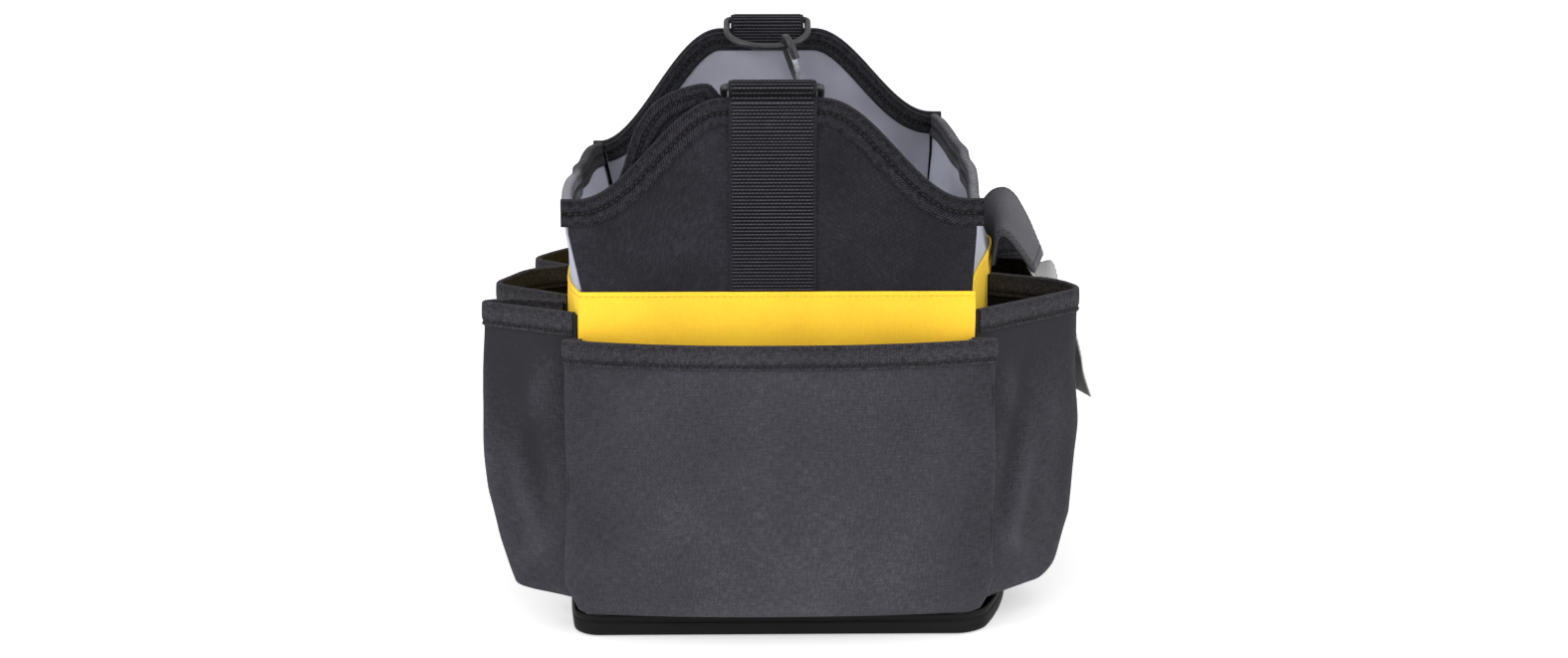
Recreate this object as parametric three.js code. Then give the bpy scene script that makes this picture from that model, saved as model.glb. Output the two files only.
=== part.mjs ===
// Open-top tool bag: a boxy cloth body in a moulded base, a yellow band, a ring of open pockets and
// two webbing straps that carry D-rings. Millimetres, +Z up, the near short end faces -Y.
import * as THREE from 'three';

// Body
const LENGTH = 322;
const TOP_HALF = 117;
const FLARE_RUN = 34;
const SIDES = {
  left: {
    side: -1, half: 109.7, bow: 11.5, baseBow: 8, topBow: 6.5, power: 5.4, pinch: 1, topPower: 5.4,
    tray: 117, trayBow: 8.5,
  },
  right: {
    side: 1, half: 115, bow: 25, baseBow: 20, topBow: 8, power: 1.5, pinch: 1.8, topPower: 2,
    tray: 123.5, trayBow: 25.5,
  },
};
const END_PLY = 4;
const SIDE_PLY = 3;
const LINING_PLY = 1.8;
const FLOOR_GAP = 3.3;
const BAND_LOW = 140;
const BAND_TOP = 208;
const BAND_PLY = 1.2;
const GAP = 0.3;

// Ends: a cosine shoulder from the raised middle down to the corners
const HUMP_RUN = 84;
const END_LIMIT = 121;
const ENDS = {
  near: { side: -1, hump: 318, flat: 28, cornerLeft: 260, cornerRight: 260 },
  far: { side: 1, hump: 324, flat: 32, cornerLeft: 246, cornerRight: 266 },
};

// Tapes, webbing and pocket cloth
const TAPE = 1.5;
const TAPE_LEG = 14;
const POCKET_PLY = 1.6;
const POCKET_TAPE = 1.2;
const POCKET_LEG = 13;
const STRAP_WIDTH = 50;
const STRAP_PLY = 1.8;
const STRAP_TAIL = 10;

// Base tray
const TRAY_HALF_LENGTH = 163.5;
const TRAY_CORNER = 14;
const TRAY_HEIGHT = 13;
const TRAY_FLOOR = 3;
const TRAY_RIM = 2;

// D-rings and hook
const RING_WIRE = 2.25;
const RING_HALF = 27.75;
const RING_STRAIGHT = 12;
const RING_DEPTH = 31;
const RING_REST = 30;
const HOOK_WIRE = 2.5;
const HOOK_BOW = 7.5;
const HOOK_LEAN = 20;
const HOOK_AT = 13.7;

const CLOTH = { color: 0x46454b, roughness: 0.9, metalness: 0 };
const PANEL = { color: 0x2f2e33, roughness: 0.9, metalness: 0 };
const LINING = { color: 0x8a8b97, roughness: 0.75, metalness: 0 };
const BLACK_TAPE = { color: 0x2d2c32, roughness: 0.85, metalness: 0 };
const WEBBING = { color: 0x333238, roughness: 0.8, metalness: 0 };
const YELLOW = { color: 0xf2c93e, roughness: 0.75, metalness: 0 };
const MOULDED = { color: 0x242327, roughness: 0.55, metalness: 0 };
const COATED = { color: 0x343436, roughness: 0.4, metalness: 0.3 };
const STEEL = { color: 0xb9bbbe, roughness: 0.3, metalness: 1 };
const GREY_TAB = { color: 0xa1a1a1, roughness: 0.7, metalness: 0 };

const bag = new THREE.Group();
bag.name = 'tool_bag';

const vec = (x, y, z) => new THREE.Vector3(x, y, z);
const lerp = THREE.MathUtils.lerp;
const clamp = THREE.MathUtils.clamp;
const span = (a, b, n) => Array.from({ length: n + 1 }, (_, i) => lerp(a, b, i / n));

function closedBody(points, index) {
  let volume = 0;
  for (let i = 0; i < index.length; i += 3) {
    const [a, b, c] = [points[index[i]], points[index[i + 1]], points[index[i + 2]]];
    volume += a.dot(b.clone().cross(c));
  }
  const facing = volume < 0 ? index.slice().reverse() : index;
  const geometry = new THREE.BufferGeometry();
  geometry.setAttribute('position', new THREE.Float32BufferAttribute(points.flatMap((p) => p.toArray()), 3));
  geometry.setIndex(facing);
  geometry.computeVertexNormals();
  return geometry;
}

function add(name, geometry, look) {
  const mesh = new THREE.Mesh(geometry, new THREE.MeshStandardMaterial(look));
  mesh.name = name;
  bag.add(mesh);
}

// A sheet between two grids of points, closed along its edges; ring = its columns run round a loop
function sheet(outer, inner, ring = false) {
  const nu = outer.length;
  const nv = outer[0].length;
  const points = [...outer.flat(), ...inner.flat()];
  const at = (side, i, j) => (side * nu + (i % nu)) * nv + j;
  const index = [];
  const quad = (a, b, c, d) => index.push(a, b, c, a, c, d);
  const columns = ring ? nu : nu - 1;
  for (let i = 0; i < columns; i += 1) {
    for (let j = 0; j < nv - 1; j += 1) {
      quad(at(0, i, j), at(0, i + 1, j), at(0, i + 1, j + 1), at(0, i, j + 1));
      quad(at(1, i, j), at(1, i, j + 1), at(1, i + 1, j + 1), at(1, i + 1, j));
    }
    quad(at(0, i, 0), at(1, i, 0), at(1, i + 1, 0), at(0, i + 1, 0));
    quad(at(0, i, nv - 1), at(0, i + 1, nv - 1), at(1, i + 1, nv - 1), at(1, i, nv - 1));
  }
  for (let j = 0; j < nv - 1 && !ring; j += 1) {
    quad(at(0, 0, j), at(0, 0, j + 1), at(1, 0, j + 1), at(1, 0, j));
    quad(at(0, nu - 1, j), at(1, nu - 1, j), at(1, nu - 1, j + 1), at(0, nu - 1, j + 1));
  }
  return closedBody(points, index);
}

// Rings of points stacked into a body, a fan over each end
function stack(rings, loop = false) {
  const n = rings[0].length;
  const points = rings.flat();
  const index = [];
  const bands = loop ? rings.length : rings.length - 1;
  for (let k = 0; k < bands; k += 1) {
    const next = (k + 1) % rings.length;
    for (let i = 0; i < n; i += 1) {
      const j = (i + 1) % n;
      index.push(k * n + i, k * n + j, next * n + j, k * n + i, next * n + j, next * n + i);
    }
  }
  for (const k of loop ? [] : [0, rings.length - 1]) {
    const middle = rings[k].reduce((sum, p) => sum.add(p), vec(0, 0, 0)).divideScalar(n);
    points.push(middle);
    for (let i = 0; i < n; i += 1) {
      const j = (i + 1) % n;
      const fan = [points.length - 1, k * n + j, k * n + i];
      index.push(...(k === 0 ? fan : fan.reverse()));
    }
  }
  return closedBody(points, index);
}

// A round wire along a path
function wire(path, radius, sides, loop = false) {
  const n = path.length;
  let across = null;
  const rings = path.map((p, i) => {
    const before = path[loop ? (i + n - 1) % n : Math.max(i - 1, 0)];
    const after = path[loop ? (i + 1) % n : Math.min(i + 1, n - 1)];
    const along = after.clone().sub(before).normalize();
    across = across ?? (Math.abs(along.x) < 0.9 ? vec(1, 0, 0) : vec(0, 0, 1));
    across = across.clone().addScaledVector(along, -along.dot(across)).normalize();
    const other = along.clone().cross(across);
    return span(0, 2 * Math.PI, sides).slice(0, sides).map((t) => p.clone()
      .addScaledVector(across, radius * Math.cos(t))
      .addScaledVector(other, radius * Math.sin(t)));
  });
  return stack(rings, loop);
}

// Directions along a run of points, the mean of the two neighbours' directions
function directions(points) {
  const steps = points.slice(1).map((p, i) => p.clone().sub(points[i]).normalize());
  return points.map((_, i) => {
    const one = steps[Math.max(i - 1, 0)];
    const two = steps[Math.min(i, steps.length - 1)];
    return one.clone().add(two).normalize();
  });
}

// Body wall: straight up to the band's top, flared above it, bowed along its length
const wallOf = (side) => (side < 0 ? SIDES.left : SIDES.right);
const reach = (side, z) => lerp(wallOf(side).half, TOP_HALF, clamp((z - BAND_TOP) / FLARE_RUN, 0, 1));
const bow = (side, y, z) => {
  const { baseBow, bow: middleBow, topBow, power, pinch, topPower } = wallOf(side);
  const low = clamp((z - TRAY_HEIGHT) / 60, 0, 1);
  const high = clamp((z - BAND_TOP) / FLARE_RUN, 0, 1);
  const run = Math.abs(2 * y / LENGTH);
  return lerp(lerp(baseBow, middleBow, low) * (1 - run ** power) ** pinch, topBow * (1 - run ** topPower), high);
};
const wallX = (side, y, z) => reach(side, z) + bow(side, y, z);
const shoulder = (end, x) => {
  const run = clamp((Math.abs(x) - end.flat) / HUMP_RUN, 0, 1);
  return 0.5 * (1 + Math.cos(Math.PI * run));
};
const cornerZ = (end, x) => lerp(end.cornerLeft, end.cornerRight, clamp(0.5 + x / 228, 0, 1));
const endTop = (end, x) => lerp(cornerZ(end, x), end.hump, shoulder(end, x));
const sideTop = (side, y) => {
  const key = side < 0 ? 'cornerLeft' : 'cornerRight';
  return lerp(ENDS.near[key], ENDS.far[key], 0.5 + y / LENGTH) - 1;
};
// The near lining stands above the outer panel on its left shoulder: place across and rise
const RISE = [[-88, 0], [-77.5, 20.5], [-67.4, 24], [-57.3, 20], [-47.2, 15], [-37.1, 11.5], [-27, 0]];
const riseAt = (x) => {
  const k = RISE.findIndex(([at]) => at > x);
  if (k < 1) return 0;
  const [x0, low] = RISE[k - 1];
  const [x1, high] = RISE[k];
  return lerp(low, high, (x - x0) / (x1 - x0));
};
const liningTop = (end, x) => endTop(end, x) - 1.7 + (end.side < 0 ? riseAt(x) : 0);
const HALF = LENGTH / 2;

// Base tray: rounded plan that bows with the walls
function trayOutline(inset, z) {
  const halfY = TRAY_HALF_LENGTH - inset;
  const r = TRAY_CORNER - inset;
  const edge = (side) => {
    const { tray, trayBow } = wallOf(side);
    const halfX = tray - inset;
    const straight = span(0, halfY - r, 4).slice(0, 4).map((y) => [halfX, y]);
    const corner = span(0, Math.PI / 2, 4).map((t) => [
      halfX - r + r * Math.cos(t),
      halfY - r + r * Math.sin(t),
    ]);
    const half = [...straight, ...corner].map(([x, y]) => {
      const out = Math.max(trayBow * (1 - Math.abs(y / HALF) ** 3), 0);
      return [side * (x + (x / halfX) * out), y];
    });
    return [...half.slice(1).reverse().map(([x, y]) => [x, -y]), ...half];
  };
  return [...edge(1), ...edge(-1).reverse()].map(([x, y]) => vec(x, y, z));
}
add('base_tray', stack([
  trayOutline(1.2, 0),
  trayOutline(0, 2),
  trayOutline(0.3, TRAY_HEIGHT),
  trayOutline(TRAY_RIM, TRAY_HEIGHT),
  trayOutline(TRAY_RIM, TRAY_FLOOR),
]), MOULDED);

// Stations across an end, as shares of its half width: two over the flat middle, then down the shoulder
const STATIONS = (() => {
  const right = [...span(ENDS.near.flat, ENDS.near.flat + HUMP_RUN, 8), TOP_HALF].map((x) => x / TOP_HALF);
  return [...right.slice().reverse().map((s) => -s), ...right];
})();

// End panels and their linings; inset keeps a ply clear of the side walls
function endPly(end, inset, front, ply, top) {
  const column = (s, y) => [FLOOR_GAP, 13.5, 20, BAND_TOP, null].map((row) => {
    const z = row ?? top(end, s * (TOP_HALF - inset));
    const half = reach(Math.sign(s), z) - inset - (z < 14 ? 10 : 0);
    return vec(s * half, end.side * y, z);
  });
  return sheet(STATIONS.map((s) => column(s, front)), STATIONS.map((s) => column(s, front - ply)));
}

// A tape folded over an edge: depth runs into the sheet, front and back are the sheet's two faces
function foldedTape(edge, inward, front, back, leg, tape) {
  const outerLap = tape + GAP;
  const outer = [[leg, outerLap], [-GAP, outerLap], [-outerLap, GAP]];
  const inner = [[leg, GAP], [0, GAP], [-GAP, 0]];
  const section = (half, p, i) => {
    const place = ([depth, out], face, sign) => p.clone()
      .addScaledVector(inward[i], depth)
      .addScaledVector(face[i], sign * out);
    const first = half.map((h) => place(h, front.normal, 1).add(front.shift[i]));
    const second = half.map((h) => place(h, front.normal, -1).add(back.shift[i]));
    return [...first, ...second.reverse()];
  };
  return sheet(edge.map((p, i) => section(outer, p, i)), edge.map((p, i) => section(inner, p, i)));
}

function endBinding(end, half, limit, front, ply, top, tape, leg) {
  const across = STATIONS.map((s) => clamp(s * half, -limit, limit));
  const stations = limit > half ? [-limit, ...across, limit] : across;
  const edge = stations.map((x) => vec(x, 0, top(end, clamp(x, -half, half))));
  const along = directions(edge);
  const inward = along.map((d) => vec(d.z, 0, -d.x));
  const normal = edge.map(() => vec(0, end.side, 0));
  const face = (y) => ({ normal, shift: edge.map(() => vec(0, end.side * y, 0)) });
  return foldedTape(edge, inward, face(front), face(front - ply), leg, tape);
}

const LINING_INSET = 4.3;
for (const [key, end] of Object.entries(ENDS)) {
  add(`${key}_end_panel`, endPly(end, 0, HALF, END_PLY, endTop), PANEL);
  const binding = endBinding(end, TOP_HALF, END_LIMIT, HALF, END_PLY, endTop, TAPE, TAPE_LEG);
  add(`${key}_edge_binding`, binding, BLACK_TAPE);
  const lining = HALF - 7.6;
  add(`${key}_end_lining`, endPly(end, LINING_INSET, lining, LINING_PLY, liningTop), LINING);
  const inside = endBinding(end, TOP_HALF - LINING_INSET, 108, lining, LINING_PLY, liningTop, 1.2, 11);
  add(`${key}_lining_binding`, inside, BLACK_TAPE);
}

// Side panels and their bindings
// Stations along a side wall, shared by the wall, its tape and the band; closest at the corners
const NOTCH = 6.1;
const RUN = (() => {
  const half = [60, 100, 125, 142, HALF - NOTCH];
  return [...half.slice().reverse().map((y) => -y), 0, ...half];
})();
for (const [key, { side }] of Object.entries(SIDES)) {
  const stations = [-HALF + 4.3, -HALF + 6, ...RUN, HALF - 6, HALF - 4.3];
  const top = (y) => (Math.abs(y) > HALF - 6.05 ? sideTop(side, y) - 19 : sideTop(side, y));
  const rows = (y) => [FLOOR_GAP, TRAY_HEIGHT, TRAY_HEIGHT + 60, BAND_TOP, top(y) - 15, top(y)];
  const column = (y, ply) => rows(y).map((z) => vec(side * (wallX(side, y, z) - ply), y, z));
  const outer = stations.map((y) => column(y, 0));
  const inner = stations.map((y) => column(y, SIDE_PLY));
  add(`${key}_side_panel`, sheet(outer, inner), LINING);
  const edge = RUN.map((y) => vec(0, y, sideTop(side, y)));
  const normal = RUN.map(() => vec(side, 0, 0));
  const faceX = (p, ply) => side * (wallX(side, p.y, p.z) - ply);
  const face = (ply) => ({ normal, shift: edge.map((p) => vec(faceX(p, ply), 0, 0)) });
  const inward = RUN.map((y) => {
    const z = sideTop(side, y);
    return vec(side * (wallX(side, y, z - 15) - wallX(side, y, z)) / 15, 0, -1);
  });
  add(`${key}_edge_binding`, foldedTape(edge, inward, face(0), face(SIDE_PLY), TAPE_LEG, TAPE), BLACK_TAPE);
}

// Yellow band round the body
function bodyLoop(off, z) {
  const edge = (side) => [-HALF, ...RUN, HALF].map((y) => {
    const past = Math.abs(y) === HALF ? Math.sign(y) * (off - 0.01) : 0;
    return vec(side * (wallX(side, y, z) + off), y + past, z);
  });
  return [...edge(1), ...edge(-1).reverse()];
}
function bandColumns(off) {
  const low = bodyLoop(off, BAND_LOW);
  const high = bodyLoop(off, BAND_TOP);
  return low.map((p, i) => [p, high[i]]);
}
add('yellow_band', sheet(bandColumns(GAP + BAND_PLY), bandColumns(GAP), true), YELLOW);

// Straps: up the outside of each end, round the ring's bar and down inside
const strapPath = (hump) => {
  const front = HALF + GAP;
  const tape = HALF + TAPE + 2 * GAP;
  const back = HALF - 7.6 - LINING_PLY - 1.2 - 2 * GAP;
  const middle = (tape + back) / 2;
  const radius = (tape - back) / 2;
  const arch = hump + 3.5;
  const path = [[front, BAND_TOP + 0.5], [front, 250], [front, hump - 24], [tape, hump - 17]];
  for (const t of span(0, Math.PI, 8)) {
    path.push([middle + radius * Math.cos(t), arch + radius * Math.sin(t)]);
  }
  path.push([back, hump - STRAP_TAIL]);
  return { path, middle, bar: arch + radius - RING_WIRE - GAP };
};
for (const [key, end] of Object.entries(ENDS)) {
  const { path } = strapPath(end.hump);
  const inner = path.map(([y, z]) => vec(0, end.side * y, z));
  const along = directions(inner);
  const lift = along.map((d) => vec(0, d.z, -d.y).multiplyScalar(end.side * STRAP_PLY));
  const outer = inner.map((p, i) => p.clone().add(lift[i]));
  const half = STRAP_WIDTH / 2;
  const columns = (line) => [-half, half].map((x) => line.map((p) => p.clone().setX(x)));
  add(`${key}_strap`, sheet(columns(outer), columns(inner)), WEBBING);
}

// D-rings: bar in the strap's loop, the bow resting inward and down
const ringPoint = (end, x, depth) => {
  const { middle, bar } = strapPath(end.hump);
  const fall = THREE.MathUtils.degToRad(RING_REST);
  return vec(x, end.side * (middle - depth * Math.cos(fall)), bar - depth * Math.sin(fall));
};
const ringCurve = (t) => [
  RING_HALF * Math.cos(t),
  RING_STRAIGHT + (RING_DEPTH - RING_STRAIGHT) * Math.sin(t),
];
for (const [key, end] of Object.entries(ENDS)) {
  const turn = 2.6;
  const corner = span(0, Math.PI / 2, 3).map((t) => [
    RING_HALF - turn + turn * Math.sin(t),
    turn - turn * Math.cos(t),
  ]);
  const bowPoints = span(0, Math.PI, 14).map(ringCurve);
  const mirrored = corner.slice().reverse().map(([x, d]) => [-x, d]);
  const plan = [...corner, ...bowPoints, ...mirrored];
  add(`${key}_d_ring`, wire(plan.map(([x, d]) => ringPoint(end, x, d)), RING_WIRE, 8, true), COATED);
}

// Snap hook hanging on the far ring
const hookFrame = () => {
  const turn = Math.acos(HOOK_AT / RING_HALF);
  const place = (t) => ringPoint(ENDS.far, ...ringCurve(t));
  const wireAt = place(turn);
  const tangent = place(turn - 0.05).sub(place(turn + 0.05)).normalize();
  const lean = THREE.MathUtils.degToRad(HOOK_LEAN);
  const down = vec(Math.sin(lean), 0, -Math.cos(lean));
  const across = tangent.addScaledVector(down, -tangent.dot(down)).normalize();
  const sideways = down.clone().cross(across);
  const centre = wireAt.addScaledVector(down, HOOK_BOW - HOOK_WIRE - RING_WIRE - 0.5);
  return { across, place: (s, d) => centre.clone().addScaledVector(sideways, s).addScaledVector(down, d) };
};
const HOOK = hookFrame();
const hookPath = [[HOOK_BOW, 8], [HOOK_BOW, 4]];
for (const t of span(0, Math.PI, 8)) {
  hookPath.push([HOOK_BOW * Math.cos(t), -HOOK_BOW * Math.sin(t)]);
}
hookPath.push([-HOOK_BOW, 14], [-HOOK_BOW + 1, 21], [-2, 29], [0, 33], [0, 39]);
for (const t of span(0.5, 5.7, 11)) {
  hookPath.push([9 * Math.sin(t), 49 - 9 * Math.cos(t)]);
}
add('snap_hook', wire(hookPath.map(([s, d]) => HOOK.place(s, d)), HOOK_WIRE, 6), COATED);
const gateLine = [[5.35, 3.5], [3.9, 11], [0.65, 24]];
const gateHalf = (out, wide) => gateLine.map(([s, d]) => HOOK.place(s + out, d)
  .addScaledVector(HOOK.across, wide));
add('hook_gate', sheet(
  [gateHalf(-0.7, -1.8), gateHalf(-0.7, 1.8)],
  [gateHalf(-2.3, -1.8), gateHalf(-2.3, 1.8)],
), STEEL);

// Pockets: each a cloth sheet from wall seam to wall seam, open at the top
// Rows: height above the base and share of the full depth
const SIDE_ROWS = {
  left: [
    { z: 21.2, depth: 0.02 },
    { z: 22.2, depth: 0.55 },
    { z: 23.2, depth: 0.71 },
    { z: 50, depth: 0.872 },
    { z: 80, depth: 0.985 },
    { z: 140, depth: 1.02 },
  ],
  right: [
    { z: 17.4, depth: 0.02 },
    { z: 18.3, depth: 0.55 },
    { z: 19.2, depth: 0.745 },
    { z: 25, depth: 0.825 },
    { z: 55, depth: 0.975 },
    { z: 110, depth: 1.03 },
  ],
};
const END_ROWS = [
  { z: 14, depth: 0.05, width: 0.935 },
  { z: 14.4, depth: 0.45, width: 0.95 },
  { z: 17, depth: 0.7, width: 0.975 },
  { z: 24, depth: 0.9, width: 0.988 },
  { z: 36, depth: 1.03, width: 1 },
  { z: 64, depth: 1.11, width: 1 },
  { z: 115, depth: 1.06, width: 1 },
];
const SEAM = BAND_PLY + 3 * GAP;

function roundedPlan(corners, radius, steps) {
  const plan = [corners[0]];
  corners.slice(1, -1).forEach((corner, k) => {
    const before = corners[k];
    const after = corners[k + 2];
    const cut = Math.min(radius, corner.distanceTo(before) * 0.45, corner.distanceTo(after) * 0.45);
    const from = corner.clone().lerp(before, cut / corner.distanceTo(before));
    const to = corner.clone().lerp(after, cut / corner.distanceTo(after));
    const curve = new THREE.QuadraticBezierCurve3(from, corner, to);
    plan.push(...curve.getPoints(steps));
  });
  plan.push(corners[corners.length - 1]);
  return plan;
}

function pocketGrid(plan, anchors, rows, rim) {
  const all = [...rows, { z: rim - 16, depth: 1 }, { z: rim, depth: 1 }];
  return plan.map((p, i) => all.map(({ z, depth, width = 1 }) => {
    const point = anchors(i, z).lerp(p, depth);
    return vec(point.x * width, point.y, z);
  }));
}

// Offset of a grid to its inner side, towards the middle of the seam line
function innerGrid(grid, ply, middle) {
  const rows = grid[0].map((_, j) => directions(grid.map((column) => column[j])));
  const columns = grid.map((column) => directions(column));
  const normalAt = (i, j) => rows[j][i].clone().cross(columns[i][j]).normalize();
  const normals = grid.map((column, i) => column.map((_, j) => normalAt(i, j)));
  let facing = 0;
  grid.forEach((column, i) => column.forEach((p, j) => {
    facing += normals[i][j].dot(p.clone().sub(middle));
  }));
  const sign = Math.sign(facing);
  const last = grid.length - 1;
  // At a seam the bottom ply turns sharply into the wall ply, so the two offsets add up
  const offset = (i, j) => {
    const beside = normals[clamp(i, 1, last - 1)][j];
    return normals[i][j].dot(beside) < 0.6 ? normals[i][j].clone().add(beside) : normals[i][j];
  };
  return grid.map((column, i) => column.map((p, j) => p.clone().addScaledVector(offset(i, j), -sign * ply)));
}

function pocketTape(plan, rim, middle) {
  const path = plan.map((p) => p.clone().setZ(rim));
  const trim = (from, to) => from.clone().lerp(to, 3.6 / from.distanceTo(to));
  const n = path.length;
  const edge = [trim(path[0], path[1]), ...path.slice(1, n - 1), trim(path[n - 1], path[n - 2])];
  const along = directions(path);
  const facing = along.reduce((sum, d, i) => sum + vec(d.y, -d.x, 0).dot(path[i].clone().sub(middle)), 0);
  const normal = along.map((d) => vec(d.y, -d.x, 0).multiplyScalar(Math.sign(facing)).normalize());
  const face = (ply) => ({ normal, shift: normal.map((v) => v.clone().multiplyScalar(-ply)) });
  const inward = edge.map(() => vec(0, 0, -1));
  return foldedTape(edge, inward, face(0), face(POCKET_PLY), POCKET_LEG, POCKET_TAPE);
}

function pocket(name, plan, anchors, rows, rim) {
  const middle = anchors(0, rim).clone().lerp(anchors(plan.length - 1, rim), 0.5).setZ(rim / 2);
  const grid = pocketGrid(plan, anchors, rows, rim);
  add(name, sheet(grid, innerGrid(grid, POCKET_PLY, middle)), CLOTH);
  add(`${name}_binding`, pocketTape(plan, rim, middle), CLOTH);
}

// End pockets: seam at the corners, a shallow curved front
const END_POCKET = { left: 121.5, right: 130, shoulderY: 168.5, frontY: 186, rim: 180 };
const END_SEAM = { left: 108, right: 113 };
for (const [key, end] of Object.entries(ENDS)) {
  const { left, right, shoulderY, frontY, rim } = END_POCKET;
  const front = [-1, -0.96, -0.85, -0.65, -0.35, 0, 0.35, 0.65, 0.85, 0.96, 1].map((s) => {
    const y = lerp(frontY, shoulderY, Math.abs(s) ** 2.4) - (Math.abs(s) === 1 ? 2.6 : 0);
    return vec(s * (s < 0 ? left : right), end.side * y, 0);
  });
  const seamY = HALF + SEAM + POCKET_PLY - GAP;
  const seams = [-END_SEAM.left, END_SEAM.right].map((x) => vec(x, end.side * seamY, 0));
  const plan = [seams[0], ...front, seams[1]];
  const anchors = (i) => vec(plan[i].x * 0.93, end.side * seamY, 0);
  pocket(`${key}_end_pocket`, plan, anchors, END_ROWS, rim);
}

// Side pockets: wall seams and the two outer corners of each cell
const SIDE_POCKETS = [
  { name: 'left_pocket_near', from: -159, to: -126, nearX: 176, nearY: -124, farX: 150, farY: -116, rim: 194 },
  { name: 'left_pocket_middle', from: -54, to: 46, nearX: 176, nearY: -17, farX: 157, farY: 30, rim: 182 },
  { name: 'left_pocket_far', from: 53, to: 150, nearX: 159, nearY: 84, farX: 148, farY: 106, rim: 178 },
  { name: 'right_pocket_near', from: -159, to: -50, nearX: 188, nearY: -98, farX: 177, farY: -72, rim: 195 },
  { name: 'right_pocket_flap', from: -44, to: 58, nearX: 172, nearY: -34, farX: 172, farY: 48, rim: 184 },
  { name: 'right_pocket_far', from: 64, to: 159, nearX: 176, nearY: 76, farX: 170, farY: 128, rim: 196 },
];
for (const cell of SIDE_POCKETS) {
  const { from, to, nearX, nearY, farX, farY } = cell;
  const key = cell.name.split('_')[0];
  const { side } = SIDES[key];
  // Share of the pocket's direction that runs along the wall at the seam
  const slant = (wallY, x, y) => {
    const out = x - wallX(side, wallY, BAND_LOW);
    const along = y - wallY;
    const step = Math.sign(along);
    const rise = wallX(side, wallY + step, BAND_LOW) - wallX(side, wallY, BAND_LOW);
    return Math.abs(out * rise + along * step) / (Math.hypot(out, along) * Math.hypot(1, rise));
  };
  const slants = [slant(from, nearX, nearY), slant(to, farX, farY)];
  const lift = (y) => POCKET_PLY * lerp(...slants, (y - from) / (to - from));
  const seam = (y, z) => vec(side * (wallX(side, y, z) + SEAM + lift(y)), y, 0);
  const outer = [vec(side * nearX, nearY, 0), vec(side * farX, farY, 0)];
  const plan = roundedPlan([seam(from, BAND_LOW), ...outer, seam(to, BAND_LOW)], 13, 3);
  const anchors = (i, z) => seam(lerp(from, to, i / (plan.length - 1)), z);
  pocket(cell.name, plan, anchors, SIDE_ROWS[key], cell.rim);
}

// Flap over the middle right pocket and its fastening tab: sections at the near and the far edge
const FLAP = { near: -42, far: 56, ply: 3, follow: 1 };
const FLAP_LINE = [
  { nearX: 142.7, nearZ: 199, farX: 142.7, farZ: 203 },
  { nearX: 142.7, nearZ: 210, farX: 143.1, farZ: 216 },
  { nearX: 141.9, nearZ: 217, farX: 144, farZ: 225 },
  { nearX: 144, nearZ: 220.3, farX: 147, farZ: 231.5 },
  { nearX: 149, nearZ: 217.5, farX: 156, farZ: 233.5 },
  { nearX: 155, nearZ: 210, farX: 163, farZ: 228 },
  { nearX: 161, nearZ: 201.5, farX: 172, farZ: 212 },
  { nearX: 166, nearZ: 195, farX: 183, farZ: 186.4 },
];
const TAB = { near: -30, far: 30, ply: 1.4, follow: 0 };
const TAB_LINE = [
  { nearX: 161.5, nearZ: 198, farX: 170.1, farZ: 199 },
  { nearX: 163.5, nearZ: 194, farX: 173.6, farZ: 190.2 },
  { nearX: 166.2, nearZ: 191, farX: 176.3, farZ: 186.2 },
  { nearX: 169.8, nearZ: 191, farX: 179.2, farZ: 187.2 },
  { nearX: 176.5, nearZ: 191.8, farX: 184, farZ: 189.2 },
  { nearX: 180, nearZ: 189.5, farX: 186.4, farZ: 185 },
  { nearX: 181.9, nearZ: 185, farX: 188.2, farZ: 178 },
  { nearX: 188, nearZ: 165, farX: 193, farZ: 160 },
  { nearX: 193.5, nearZ: 151, farX: 198, farZ: 145 },
  { nearX: 197.2, nearZ: 135, farX: 200.5, farZ: 130 },
  { nearX: 203.6, nearZ: 112, farX: 205, farZ: 103.5 },
];
function hanging(name, line, { near, far, ply, follow }, look) {
  const section = (y) => {
    const t = (y - near) / (far - near);
    const shift = follow * (wallX(1, y, BAND_LOW) - wallX(1, 0, BAND_LOW));
    const top = line.map(({ nearX, nearZ, farX, farZ }, k) => {
      const x = lerp(nearX, farX, t) + shift * clamp(1 - k / 3, 0, 1);
      return vec(x, y, lerp(nearZ, farZ, t));
    });
    const along = directions(top);
    return { top, under: top.map((p, i) => p.clone().addScaledVector(vec(along[i].z, 0, -along[i].x), ply)) };
  };
  const sections = span(near, far, 4).map(section);
  add(name, sheet(sections.map((c) => c.top), sections.map((c) => c.under)), look);
}
hanging('right_flap', FLAP_LINE, FLAP, CLOTH);
hanging('flap_tab', TAB_LINE, TAB, GREY_TAB);

export default bag;
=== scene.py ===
# %% [markdown]
# # A tool bag, dressed for the camera
# The solid model gives the frame: where every panel, pocket and ring is. Each cloth piece is sewn again
# here with a finer grid, folds, weave and stitches, in the same place as the solid it stands for.

# %% Load the frame
import math

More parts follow.
